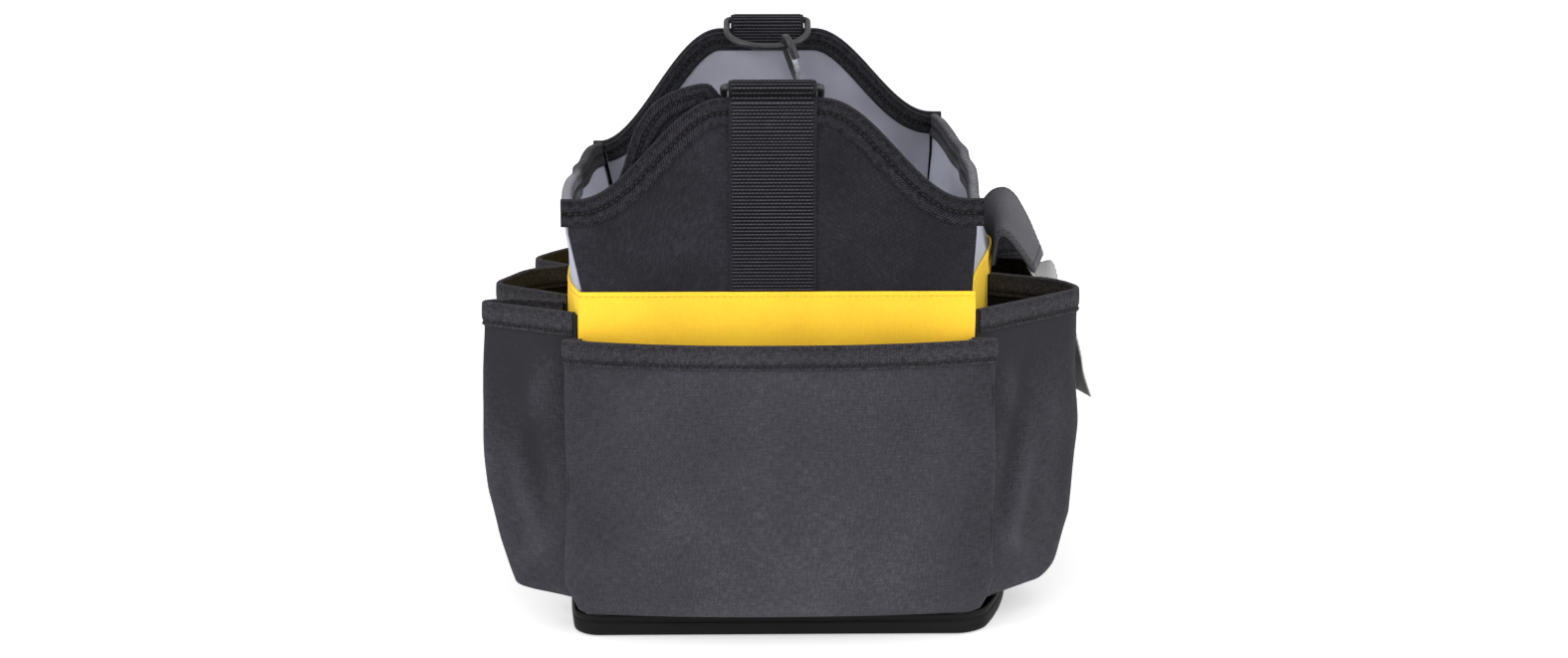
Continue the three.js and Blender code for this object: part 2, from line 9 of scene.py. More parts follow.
import bpy
import numpy as np
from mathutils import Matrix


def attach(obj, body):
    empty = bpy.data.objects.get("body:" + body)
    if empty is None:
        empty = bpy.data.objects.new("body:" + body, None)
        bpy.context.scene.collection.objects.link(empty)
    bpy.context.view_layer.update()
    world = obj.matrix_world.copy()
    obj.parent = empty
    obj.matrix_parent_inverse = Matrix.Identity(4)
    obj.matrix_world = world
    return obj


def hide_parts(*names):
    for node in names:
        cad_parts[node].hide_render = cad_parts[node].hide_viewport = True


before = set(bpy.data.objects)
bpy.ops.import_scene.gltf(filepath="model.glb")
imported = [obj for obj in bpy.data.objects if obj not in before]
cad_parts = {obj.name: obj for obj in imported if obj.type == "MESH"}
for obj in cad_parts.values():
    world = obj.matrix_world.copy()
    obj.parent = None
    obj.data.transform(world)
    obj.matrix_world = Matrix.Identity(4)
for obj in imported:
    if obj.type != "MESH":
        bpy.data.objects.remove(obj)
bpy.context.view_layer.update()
MM = 0.001

# %% [markdown]
# ## Camera
# The photograph looks at one short end, a little from above and from a distance. The values come from
# fitting a camera to the webbing's width and to the corners of both ends.

# %% Camera
CAMERA_PLACE = (-0.0165, -1.5618, 0.506)
PITCH, YAW = 0.2247, 0.0164
SENSOR, FOCAL_PIXELS, PHOTO_PIXELS = 36, 2500, 1575
camera = bpy.data.objects.new("camera", bpy.data.cameras.new("camera"))
camera.data.sensor_width = SENSOR
camera.data.lens = SENSOR * FOCAL_PIXELS / PHOTO_PIXELS
camera.data.clip_end = 50
camera.location = CAMERA_PLACE
camera.rotation_euler = (math.pi / 2 - PITCH, 0, -YAW)
bpy.context.scene.collection.objects.link(camera)
bpy.context.scene.camera = camera
print("camera lens", round(camera.data.lens, 2))

# %% [markdown]
# ## Light and floor
# The photograph is lit evenly and cut out on white. A white sky gives the even part, a wide bright ceiling
# whitens the floor, and panels on the left and, weaker, on the right give the folds a direction. The floor
# glows a little, so the bag's shadow on it stays pale.

# %% Light and floor
def panel_light(name, place, target, size, watts):
    lamp = bpy.data.lights.new(name, "AREA")
    lamp.shape = "RECTANGLE"
    lamp.size, lamp.size_y = size
    lamp.energy = watts
    lamp_object = bpy.data.objects.new(name, lamp)
    lamp_object.location = place
    aim = np.array(target, float) - np.array(place, float)
    flat = math.hypot(aim[0], aim[1])
    lamp_object.rotation_euler = (math.atan2(flat, -aim[2]), 0, math.atan2(-aim[0], aim[1]))
    bpy.context.scene.collection.objects.link(lamp_object)


world = bpy.data.worlds.new("white_studio")
world.use_nodes = True
sky = world.node_tree.nodes["Background"].inputs
sky["Color"].default_value = (1, 1, 1, 1)
sky["Strength"].default_value = 0.55
bpy.context.scene.world = world
bpy.context.scene.view_settings.view_transform = "Standard"
panel_light("ceiling", (0, 1.5, 3.2), (0, 1.5, 0), (14, 14), 345)
panel_light("left_panel", (-2.2, -1.9, 1.5), (0, 0, 0.15), (1.0, 1.4), 34)
panel_light("front_panel", (0.9, -2.6, 0.6), (0, 0, 0.15), (1.6, 1.0), 17)
panel_light("right_panel", (2.4, -1.0, 1.1), (0.1, 0, 0.18), (1.0, 1.0), 16)

FLOOR_HALF, FLOOR_Z = 9, -0.0004
floor_corners = [(x * FLOOR_HALF, y * FLOOR_HALF, FLOOR_Z) for x, y in ((-1, -1), (1, -1), (1, 1), (-1, 1))]
floor_mesh = bpy.data.meshes.new("floor")
floor_mesh.from_pydata(floor_corners, [], [(0, 1, 2, 3)])
floor = bpy.data.objects.new("floor", floor_mesh)
bpy.context.scene.collection.objects.link(floor)
floor_look = bpy.data.materials.new("pale_floor")
floor_look.use_nodes = True
floor_shader = floor_look.node_tree.nodes["Principled BSDF"].inputs
floor_shader["Base Color"].default_value = (0.8, 0.8, 0.8, 1)
floor_shader["Roughness"].default_value = 0.9
floor_shader["Emission Color"].default_value = (1, 1, 1, 1)
floor_shader["Emission Strength"].default_value = 0.4
floor_mesh.materials.append(floor_look)

# %% [markdown]
# ## Finishes
# All the cloth on this bag is woven, so one recipe makes each of them: a thread pattern on the piece's own
# UV map, which is measured in metres along the cloth, slubs drawn out along both thread directions, broad
# uneven fading, and a lighter or darker bloom from each point's wear and painted light and shade. Each cloth
# only changes the colours, the thread pitch and the relief. The colour ramp is centred on the mean of all
# these tones, so the cloth's named colour is its middle, and "spread" says how dark and how pale it may
# become.

# %% Cloth recipe
def linear(r, g, b):
    return tuple(((c / 255 + 0.055) / 1.055) ** 2.4 if c > 10 else c / 255 / 12.92 for c in (r, g, b)) + (1,)


def shade(colour, factor):
    return tuple(min(1.0, c * factor) for c in colour[:3]) + (1,)


class Nodes:
    """A material's node tree with short calls for making and joining nodes."""

    def __init__(self, name):
        self.material = bpy.data.materials.new(name)
        self.material.use_nodes = True
        self.tree = self.material.node_tree
        self.shader = self.tree.nodes["Principled BSDF"]

    def add(self, kind, **settings):
        node = self.tree.nodes.new(kind)
        for key, value in settings.items():
            if key in node.inputs:
                node.inputs[key].default_value = value
            else:
                setattr(node, key, value)
        return node

    def join(self, out, into):
        self.tree.links.new(out, into)

    def math(self, operation, a, b):
        node = self.add("ShaderNodeMath", operation=operation)
        for socket, value in zip(node.inputs, (a, b)):
            if isinstance(value, (int, float)):
                socket.default_value = value
            else:
                self.join(value, socket)
        return node.outputs[0]

    def bands(self, coords, pitch, turn=0.0):
        turned = self.add("ShaderNodeMapping")
        turned.inputs["Rotation"].default_value = (0, 0, turn)
        self.join(coords, turned.inputs["Vector"])
        wave = self.add("ShaderNodeTexWave", Scale=math.pi / 10 / pitch)
        self.join(turned.outputs["Vector"], wave.inputs["Vector"])
        return wave.outputs["Fac"]

    def noise(self, coords, scale, detail=2.0, stretch=None):
        if stretch:
            drawn = self.add("ShaderNodeMapping")
            drawn.inputs["Scale"].default_value = stretch
            self.join(coords, drawn.inputs["Vector"])
            coords = drawn.outputs["Vector"]
        cloud = self.add("ShaderNodeTexNoise", Scale=scale, Detail=detail)
        self.join(coords, cloud.inputs["Vector"])
        return cloud.outputs["Fac"]

    def ramp(self, value, stops):
        node = self.add("ShaderNodeValToRGB")
        elements = node.color_ramp.elements
        while len(elements) < len(stops):
            elements.new(0.5)
        for element, (place, colour) in zip(elements, stops):
            element.position = place
            element.color = colour
        self.join(value, node.inputs["Fac"])
        return node.outputs["Color"]

    def bump(self, height, distance, strength=1.0):
        node = self.add("ShaderNodeBump", Strength=strength, Distance=distance)
        self.join(height, node.inputs["Height"])
        self.join(node.outputs["Normal"], self.shader.inputs["Normal"])

    def surface(self, hue, settings):
        self.join(hue, self.shader.inputs["Base Color"])
        for label, value in settings.items():
            self.shader.inputs[label].default_value = value


CROSSED_MEAN, TWILL_MEAN = 0.25, 0.39  # mean height of two crossed waves, and with a twill line over them


def woven(name, colour, pitch, relief, twill=0.0, thread=0.14, speckle=0.8, fade=0.3, bloom=0.3, rough=0.9,
          spread=(0.5, 1.6)):
    made = Nodes(name)
    place = made.add("ShaderNodeTexCoord")
    uv, solid = place.outputs["UV"], place.outputs["Object"]
    warp = made.bands(uv, pitch)
    weft = made.bands(uv, pitch, math.pi / 2)
    weave = made.math("MULTIPLY", warp, weft)
    if twill:
        line = made.bands(uv, twill, math.radians(38))
        weave = made.math("ADD", made.math("MULTIPLY", weave, 0.45), made.math("MULTIPLY", line, 0.55))
    slubs = [made.noise(uv, 0.8 / pitch, 2.0, stretch) for stretch in ((1, 0.22, 1), (0.22, 1, 1))]
    fine = made.math("ADD", made.math("MULTIPLY", slubs[0], 0.5), made.math("MULTIPLY", slubs[1], 0.5))
    broad = made.noise(solid, 21.0, 4.0)
    tone = made.math("ADD", made.math("MULTIPLY", weave, thread), made.math("MULTIPLY", fine, speckle))
    tone = made.math("ADD", tone, made.math("MULTIPLY", broad, fade))
    # The point attribute holds wear and painted light and shade, and bloom scales how much it lightens or
    # darkens.
    wear_and_light_map = made.add("ShaderNodeAttribute", attribute_name="wear_and_light")
    tone = made.math("ADD", tone, made.math("MULTIPLY", wear_and_light_map.outputs["Fac"], bloom))
    middle = thread * (TWILL_MEAN if twill else CROSSED_MEAN) + speckle * 0.5 + fade * 0.5
    low, high = (shade(colour, factor) for factor in spread)
    hue = made.ramp(made.math("SUBTRACT", tone, middle - 0.5), [(0.1, low), (0.5, colour), (0.9, high)])
    made.surface(hue, {"Roughness": rough, "Sheen Weight": 0.03, "Sheen Roughness": 0.45,
                       "Specular IOR Level": 0.12})
    height = made.math("ADD", weave, made.math("MULTIPLY", fine, 0.5))
    made.bump(height, relief)
    return made.material


POCKET_CLOTH = woven("pocket_cloth", linear(58, 57, 63), 0.0009, 0.0003, twill=0.0019, speckle=1.2, fade=0.45,
                     spread=(0.5, 2.0))
# The flap's cloth is the pocket cloth painted paler, for the light that falls on the padded flap's top.
LIT_FLAP_CLOTH = woven("flap_cloth_painted_light", linear(82, 81, 86), 0.0009, 0.0003, twill=0.0019)
PANEL_CLOTH = woven("panel_cloth", linear(33, 32, 37), 0.0009, 0.0003, twill=0.0019, speckle=1.2, fade=0.8,
                    spread=(0.5, 2.2))
GREY_CLOTH = woven("grey_cloth", linear(142, 143, 155), 0.0006, 0.00012, thread=0.05, speckle=0.15, fade=0.5,
                   rough=0.75)
YELLOW_CLOTH = woven("yellow_cloth", linear(252, 201, 58), 0.0009, 0.00022, thread=0.05, speckle=0.18,
                     fade=0.26, bloom=0.1)
BINDING_TAPE = woven("binding_tape", linear(23, 22, 26), 0.0007, 0.0009, twill=0.0014, thread=0.5,
                     speckle=1.9, bloom=0.4, spread=(0.25, 4.4))
POCKET_TAPE = woven("pocket_tape", linear(43, 42, 46), 0.0007, 0.0009, twill=0.0014, thread=0.5, speckle=1.8,
                    spread=(0.3, 3.0))
# The side walls' tape is the dark binding tape painted paler, as painted sheen from light grazing it.
LIT_SIDE_TAPE = woven("side_tape_painted_sheen", linear(72, 71, 76), 0.0007, 0.0009, twill=0.0014, thread=0.3, speckle=1.2,
                  bloom=0.4, spread=(0.3, 5.0))
WEBBING = woven("webbing", linear(30, 29, 33), 0.0009, 0.0004, thread=0.3, speckle=0.6, bloom=0.8,
                spread=(0.25, 6.0))
GREY_TAB = woven("grey_tab", linear(165, 165, 165), 0.0009, 0.0003, thread=0.1, speckle=0.25)
print("cloths", len([m for m in bpy.data.materials if m.use_nodes]))

# %% [markdown]
# The hard finishes are three: a moulded base with a fine leathery grain, black-coated wire that is a little
# uneven, and one bright steel leaf on the hook. The sewing threads use the wire's recipe without its metal.

# %% Hard finishes
def moulded(name, colour, grain, relief, rough):
    made = Nodes(name)
    solid = made.add("ShaderNodeTexCoord").outputs["Object"]
    cells = made.add("ShaderNodeTexVoronoi", Scale=1.0 / grain, feature="DISTANCE_TO_EDGE")
    made.join(solid, cells.inputs["Vector"])
    cloud = made.noise(solid, 30.0, 4.0)
    hue = made.ramp(cloud, [(0.3, shade(colour, 0.75)), (0.55, colour), (0.8, shade(colour, 1.35))])
    made.surface(hue, {"Roughness": rough, "Specular IOR Level": 0.16})
    made.bump(cells.outputs["Distance"], relief, 0.6)
    return made.material


def coated(name, colour, metallic, rough, streak):
    made = Nodes(name)
    solid = made.add("ShaderNodeTexCoord").outputs["Object"]
    cloud = made.noise(solid, streak, 5.0)
    hue = made.ramp(cloud, [(0.35, shade(colour, 0.7)), (0.55, colour), (0.75, shade(colour, 1.4))])
    made.surface(hue, {"Metallic": metallic, "Roughness": rough})
    made.bump(cloud, 0.00006)
    return made.material


MOULDED_BASE = moulded("moulded_base", linear(11, 11, 13), 0.0014, 0.00012, 0.65)
COATED_WIRE = coated("coated_wire", linear(48, 48, 50), 0.2, 0.38, 420.0)
BRIGHT_STEEL = coated("bright_steel", linear(200, 202, 205), 1.0, 0.28, 300.0)
THREAD = coated("dark_thread", linear(38, 37, 41), 0.0, 0.8, 900.0)
YELLOW_THREAD = coated("yellow_thread", linear(214, 170, 52), 0.0, 0.8, 900.0)
GREY_THREAD = coated("grey_thread", linear(120, 120, 122), 0.0, 0.8, 900.0)
print("hard finishes ready")

# %% [markdown]
# ## The bag's shape
# These are the solid model's own sizes, in millimetres. The side walls bow outwards along their length and
# flare above the yellow band, and each end rises in a cosine shoulder to the strap.

# %% Walls and ends
LENGTH, HALF, TOP_HALF, FLARE_RUN = 322, 161, 117, 34
BAND_LOW, BAND_TOP, BAND_PLY = 140, 208, 1.2
FLOOR_GAP, GAP = 3.3, 0.3
BASE_TOP, BASE_RUN = 13, 60
HUMP_RUN, CORNER_SPAN = 84, 228
PANEL_PLY, WALL_PLY, LINING_PLY = 4, 3, 1.8
LINING_INSET, LINING_FRONT, LINING_DROP = 4.3, HALF - 7.6, 1.7
SIDES = {
    -1: {"half": 109.7, "bow": 11.5, "base_bow": 8, "top_bow": 6.5, "power": 5.4, "pinch": 1,
         "top_power": 5.4, "tray": 117, "tray_bow": 8.5, "near": 260, "far": 246},
    1: {"half": 115, "bow": 25, "base_bow": 20, "top_bow": 8, "power": 1.5, "pinch": 1.8,
        "top_power": 2, "tray": 123.5, "tray_bow": 25.5, "near": 260, "far": 266},
}
ENDS = {
    "near": {"side": -1, "hump": 318, "flat": 28, "left": 260, "right": 260},
    "far": {"side": 1, "hump": 324, "flat": 32, "left": 246, "right": 266},
}


def lerp(a, b, t):
    return a + (b - a) * t


def share(value):
    return np.clip(value, 0, 1)


def reach(side, z):
    return lerp(SIDES[side]["half"], TOP_HALF, share((z - BAND_TOP) / FLARE_RUN))


def reach_at(s, z):
    return np.where(s < 0, reach(-1, z), reach(1, z))


def wall_x(side, y, z):
    low, high = share((z - BASE_TOP) / BASE_RUN), share((z - BAND_TOP) / FLARE_RUN)
    wall, run = SIDES[side], np.minimum(np.abs(2 * y / LENGTH), 1)
    body = lerp(wall["base_bow"], wall["bow"], low) * (1 - run ** wall["power"]) ** wall["pinch"]
    return reach(side, z) + lerp(body, wall["top_bow"] * (1 - run ** wall["top_power"]), high)


def end_top(end, x):
    corner = lerp(end["left"], end["right"], share(0.5 + x / CORNER_SPAN))
    return lerp(corner, end["hump"], 0.5 + 0.5 * np.cos(math.pi * share((abs(x) - end["flat"]) / HUMP_RUN)))


# The near lining's top edge stands up beside the strap: places across the bag, and the rise at each.
RISE_AT = [-88, -84, -80.5, -77.5, -72, -67.4, -62, -57.3, -47.2, -40, -36, -31, -28.5]
RISE = [0, 6, 15, 20.5, 23.4, 24, 22.4, 20, 15, 12.2, 10.4, 3.4, 0]


def lining_top(end, x):
    return end_top(end, x) - LINING_DROP + (np.interp(x, RISE_AT, RISE) if end["side"] < 0 else 0)


def side_top(side, y):
    return lerp(SIDES[side]["near"], SIDES[side]["far"], 0.5 + y / LENGTH) - 1


print("end heights", {k: float(end_top(e, np.array(0.0))) for k, e in ENDS.items()})

# %% [markdown]
# ## Sewing tools
# A cloth piece is two grids of points, its outside and its inside, closed along the edges. Its UV map is
# measured along the grid, so every weave has the same thread size on every piece. Each point also carries a
# value of wear and painted light and shade: above 0 the cloth recipe makes it paler there, and below 0
# darker.

# %% Sewing tools
def finish_mesh(name, points, faces, corner_uv, look, body, wear_and_light, sharp=50):
    points = np.asarray(points, float) * MM
    mesh = bpy.data.meshes.new(name)
    mesh.from_pydata(points.tolist(), [], faces)
    layer = mesh.uv_layers.new(name="cloth")
    layer.data.foreach_set("uv", (np.asarray(corner_uv, float) * MM).ravel())
    wear_and_light_map = mesh.attributes.new("wear_and_light", "FLOAT", "POINT")
    wear_and_light_map.data.foreach_set("value", np.asarray(wear_and_light, float).ravel())
    mesh.materials.append(look)
    if signed_volume(mesh) < 0:
        mesh.flip_normals()
    mesh.shade_smooth()
    mesh.set_sharp_from_angle(angle=math.radians(sharp))
    made = bpy.data.objects.new(name, mesh)
    bpy.context.scene.collection.objects.link(made)
    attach(made, body)
    return made


def signed_volume(mesh):
    mesh.calc_loop_triangles()
    corners = np.empty(len(mesh.loop_triangles) * 3, int)
    mesh.loop_triangles.foreach_get("vertices", corners)
    place = np.empty(len(mesh.vertices) * 3)
    mesh.vertices.foreach_get("co", place)
    a, b, c = place.reshape(-1, 3)[corners.reshape(-1, 3)].transpose(1, 0, 2)
    return float(np.einsum("ij,ij->i", a, np.cross(b, c)).sum())


def run_lengths(grid, axis):
    steps = np.linalg.norm(np.diff(grid, axis=axis), axis=2).mean(axis=1 - axis)
    return np.concatenate([[0], np.cumsum(steps)])


def sew(name, outer, inner, look, body="bag", ring=False, wear_and_light=None, sharp=50, lining=None):
    nu, nv = outer.shape[:2]
    points = np.concatenate([outer.reshape(-1, 3), inner.reshape(-1, 3)])
    closed = np.concatenate([outer, outer[:1]]) if ring else outer
    along, up = run_lengths(closed, 0), run_lengths(outer, 1)
    faces, corner_uv, back = [], [], []

    def quad(*spots):
        faces.append([(side * nu + i % nu) * nv + j for side, i, j in spots])
        corner_uv.extend((along[i], up[j]) for side, i, j in spots)
        back.append(int(all(side for side, i, j in spots)))

    for i in range(nu if ring else nu - 1):
        for j in range(nv - 1):
            quad((0, i, j), (0, i + 1, j), (0, i + 1, j + 1), (0, i, j + 1))
            quad((1, i, j), (1, i, j + 1), (1, i + 1, j + 1), (1, i + 1, j))
        quad((0, i, 0), (1, i, 0), (1, i + 1, 0), (0, i + 1, 0))
        quad((0, i, nv - 1), (0, i + 1, nv - 1), (1, i + 1, nv - 1), (1, i, nv - 1))
    for j in range(0 if ring else nv - 1):
        quad((0, 0, j), (0, 0, j + 1), (1, 0, j + 1), (1, 0, j))
        quad((0, nu - 1, j), (1, nu - 1, j), (1, nu - 1, j + 1), (0, nu - 1, j + 1))
    wear_and_light_map = np.zeros((nu, nv)) if wear_and_light is None else wear_and_light
    both = np.concatenate([wear_and_light_map.ravel(), wear_and_light_map.ravel()])
    made = finish_mesh(name, points, faces, corner_uv, look, body, both, sharp)
    if lining:
        made.data.materials.append(lining)
        made.data.polygons.foreach_set("material_index", back)
    return made


def stack(name, rings, look, body, loop=False, sharp=50):
    rings = np.asarray(rings, float)
    count, n = rings.shape[:2]
    closed = np.concatenate([rings, rings[:1]])
    along = run_lengths(closed, 0)
    around = run_lengths(np.concatenate([rings, rings[:, :1]], axis=1), 1)
    faces, corner_uv = [], []
    for k in range(count if loop else count - 1):
        for i in range(n):
            spots = [(k, i), (k, i + 1), (k + 1, i + 1), (k + 1, i)]
            faces.append([(a % count) * n + b % n for a, b in spots])
            corner_uv.extend((along[a], around[b]) for a, b in spots)
    for k in [] if loop else [0, count - 1]:
        cap = [k * n + i for i in range(n)]
        faces.append(cap[::-1] if k == 0 else cap)
        corner_uv.extend((0, 0) for _ in range(n))
    return finish_mesh(name, rings.reshape(-1, 3), faces, corner_uv, look, body, np.zeros(count * n), sharp)


def normals(grid, middle, ring=False):
    along = np.roll(grid, -1, 0) - np.roll(grid, 1, 0) if ring else np.gradient(grid, axis=0)
    out = np.cross(along, np.gradient(grid, axis=1))
    out /= np.maximum(np.linalg.norm(out, axis=2, keepdims=True), 1e-9)
    return out * np.sign((out * (grid - middle)).sum())


def path_run(path):
    return np.concatenate([[0], np.cumsum(np.linalg.norm(np.diff(path, axis=0), axis=1))])


def along_path(path, run, spots):
    return np.stack([np.interp(spots, run, path[:, k]) for k in range(path.shape[1])], axis=1)


def resample(path, step):
    path = np.asarray(path, float)
    run = path_run(path)
    spots = np.linspace(0, run[-1], max(2, int(round(run[-1] / step)) + 1))
    return along_path(path, run, spots), spots / run[-1]


def soften(path, passes):
    path = np.array(path, float)
    for _ in range(passes):
        path[1:-1] = (path[:-2] + 2 * path[1:-1] + path[2:]) / 4
    return path


def tangents(path, loop=False):
    path = np.asarray(path, float)
    step = np.roll(path, -1, 0) - np.roll(path, 1, 0) if loop else np.gradient(path, axis=0)
    return step / np.linalg.norm(step, axis=1, keepdims=True)


def wire(name, path, radius, sides, look, body, loop=False):
    path = np.asarray(path, float)
    along = tangents(path, loop)
    across = np.array([1.0, 0, 0]) if abs(along[0][0]) < 0.9 else np.array([0, 0, 1.0])
    turn = np.linspace(0, 2 * math.pi, sides, endpoint=False)
    rings = []
    for p, d in zip(path, along):
        across = across - d * np.dot(d, across)
        across /= np.linalg.norm(across)
        other = np.cross(d, across)
        rings.append(p + radius * (np.outer(np.cos(turn), across) + np.outer(np.sin(turn), other)))
    return stack(name, rings, look, body, loop)


def swell(u, v, seed, waves=6, size=60.0):
    """A smooth uneven surface between about -1 and 1, the same on every run."""
    dice = np.random.default_rng(seed)
    total = np.zeros(np.broadcast(u, v).shape)
    for _ in range(waves):
        angle, pace, phase = dice.uniform(0, math.pi), dice.uniform(0.6, 1.6), dice.uniform(0, 6.28)
        way = u * math.cos(angle) + v * math.sin(angle)
        total = total + np.sin(2 * math.pi * pace * way / size + phase)
    return total / math.sqrt(waves) / 1.3


print("sewing tools ready")

# %% [markdown]
# ## Base tray
# A shallow moulded tray. Its wall has a shallow groove under a rounded lip, which catches the light as the
# thin pale line seen along the foot of the bag.

# %% Base tray
TRAY_END, TRAY_CORNER = 163.5, 14


def tray_outline(inset, z):
    half_y, r = TRAY_END - inset, max(TRAY_CORNER - inset, 1)
    turn = np.linspace(0, math.pi / 2, 15)

    def bowed(side):
        half_x = SIDES[side]["tray"] - inset
        edge = np.concatenate([
            np.stack([np.full(24, half_x), np.linspace(0, half_y - r, 24, endpoint=False)], axis=1),
            np.stack([half_x - r + r * np.cos(turn), half_y - r + r * np.sin(turn)], axis=1),
            np.stack([np.linspace(half_x - r, 0, 16)[1:-1], np.full(14, half_y)], axis=1),
        ])
        out = SIDES[side]["tray_bow"] * np.maximum(1 - np.abs(edge[:, 1] / HALF) ** 3, 0)
        return np.stack([side * (edge[:, 0] + edge[:, 0] / half_x * out), edge[:, 1]], axis=1)

    right, left = bowed(1), bowed(-1)
    middle = np.array([[0, half_y]])
    flip = [1, -1]
    loop = np.concatenate([right, middle, left[::-1], left[1:] * flip, -middle, (right[1:] * flip)[::-1]])
    return np.column_stack([loop, np.full(len(loop), z)])


TRAY_RINGS = [(60, 0), (3, 0), (1.6, 0.15), (0.6, 0.7), (0.1, 1.6), (0, 2.6), (0.1, 7.6), (0.35, 8.0),
              (0.9, 8.3), (0.9, 9.1), (0.3, 9.4), (0.05, 9.9), (0.05, 11.6), (0.35, 12.5), (1.0, 13),
              (1.7, 12.8), (2, 12.2), (2, 3.6), (2.6, 3), (60, 3)]  # (inset, height)
tray = stack("dressed_base_tray", [tray_outline(*ring) for ring in TRAY_RINGS], MOULDED_BASE, "bag", sharp=70)
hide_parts("base_tray")
print(tray.name, len(tray.data.polygons), "faces")

# %% [markdown]
# ## End panels and linings
# Two plies stand at each end: the dark outer panel and the grey lining. Their faces ripple slightly
# towards each other, because the cloth is only held at its edges and behind the strap.

# %% End panels and linings
END_COLUMNS, END_HEIGHTS = 121, 84
FOOT_NARROW, FOOT_TOP, FOOT_RUN = 10, 20, 6.5  # the foot narrows to clear the tray's corners
STRAP_HOLD, SIDE_HOLD, BAND_HOLD, TAPE_HOLD = 27, 110, 212, 15  # the cloth ripples only between these
TOP_WEAR, WEAR_RUN = 0.2, 26


def end_ply(end, inset, front, ply, top, ripple, seed):
    s = np.linspace(-1, 1, END_COLUMNS)[:, None]
    v = np.linspace(0, 1, END_HEIGHTS)[None, :]
    high = top(end, s * (TOP_HALF - inset))
    z = lerp(FLOOR_GAP, high, v)
    x = s * (reach_at(s, z) - inset - FOOT_NARROW * share((FOOT_TOP - z) / FOOT_RUN))
    free = share((np.abs(x) - STRAP_HOLD) / 18) * share((high - TAPE_HOLD - z) / 14)
    free = free * share((z - BAND_HOLD) / 12) * share((SIDE_HOLD - np.abs(x)) / 8)
    dent = ripple * free * (0.5 + 0.5 * swell(x, z, seed, waves=7, size=70))
    wear_and_light = share(1 - (high - z) / WEAR_RUN) * TOP_WEAR * np.ones_like(x)
    outer = np.stack([x, end["side"] * (front - dent), z], axis=2)
    inner = np.stack([x, end["side"] * (front - dent - ply), z], axis=2)
    return outer, inner, wear_and_light


for key, end in ENDS.items():
    outer, inner, wear_and_light = end_ply(end, 0, HALF, PANEL_PLY, end_top, ripple=1.5, seed=11)
    panel = sew(f"dressed_{key}_end_panel", outer, inner, PANEL_CLOTH, wear_and_light=wear_and_light)
    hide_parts(f"{key}_end_panel")
    outer, inner, _ = end_ply(end, LINING_INSET, LINING_FRONT, LINING_PLY, lining_top, ripple=-2.6, seed=23)
    lining = sew(f"dressed_{key}_end_lining", outer, inner, PANEL_CLOTH, lining=GREY_CLOTH)
    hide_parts(f"{key}_end_lining")

# %% [markdown]
# ## Edge tapes
# A tape is a strip folded over a raw edge. Its section is a rounded U: two flat legs with a slight crown
# and a fold over the top, and it follows the edge it covers.

# %% Edge tapes
TAPE, TAPE_LEG, GROOVE = 1.5, 14, 0.46  # thickness, length of a leg, and the stitch line's share of it
LINING_TAPE, LINING_LEG = 1.2, 11
TAPE_REACH, LINING_REACH = 121, 112.9  # where the end tapes stop, from the middle of the bag
CROWN, FURROW, LEAST_TAPE = 0.25, 0.65, 0.25
STITCH_SINK = 0.45  # how far a stitch line lies below the tape's thickness


def tape_section(ply, leg, tape, groove):
    """(depth into the cloth, offset from the middle of its thickness) for the tape's two faces."""
    half = ply / 2 + GAP * 0.7
    lap = ply / 2 + tape + GAP - CROWN
    turn = np.linspace(0, math.pi, 13)
    depth = np.linspace(leg, 0.4, 23)
    line = groove * leg
    over, under = share(depth / line), share((depth - line) / (leg - line))
    lobes = np.where(depth < line, np.sin(math.pi * over), np.sin(math.pi * under))
    furrow = np.exp(-(((depth - line) / 0.8) ** 2))
    face = lap + CROWN * lobes - FURROW * furrow - 0.5 * share((depth - leg + 0.8) / 0.8) ** 2
    leg_one = np.stack([depth, np.maximum(face, half + LEAST_TAPE)], axis=1)
    fold = np.stack([-(tape + GAP) * np.sin(turn) ** 0.8, leg_one[-1, 1] * np.cos(turn)], axis=1)
    outer = np.concatenate([leg_one, fold[1:-1], (leg_one * [1, -1])[::-1]])
    inner_leg = np.stack([depth, np.full_like(depth, half)], axis=1)
    inner_fold = np.stack([-GAP * np.sin(turn), half * np.cos(turn)], axis=1)[1:-1]
    inner = np.concatenate([inner_leg, inner_fold, (inner_leg * [1, -1])[::-1]])
    # Painted highlights on the tape's crowns and over its fold, and painted shade in the stitch groove.
    crest = 0.5 * lobes - 0.9 * np.exp(-(((depth - line) / 1.1) ** 2))
    wear_and_light = np.concatenate([crest, np.sin(turn)[1:-1] * 0.8, crest[::-1]])
    return outer, inner, wear_and_light


def folded_tape(name, edge, inward, normal, ply, leg, tape, look, groove=GROOVE, pale=0.0):
    """edge runs along the middle of the cloth's ply; pale is painted sheen, with painted shade at the inner
    leg's foot.
    """
    outer, inner, wear_and_light = tape_section(ply, leg, tape, groove)
    tone = np.broadcast_to(pale, len(edge))[:, None]
    foot = np.where(outer[:, 1] > 0, 1, 1 - 1.8 * share((outer[:, 0] - 5) / 3))
    wear_and_light = wear_and_light + np.minimum(tone, tone * foot)

    def grid(section):
        return edge[:, None] + section[None, :, :1] * inward[:, None] + section[None, :, 1:] * normal[:, None]

    return sew(name, grid(outer), grid(inner), look, wear_and_light=wear_and_light, sharp=65)


STITCHES = []


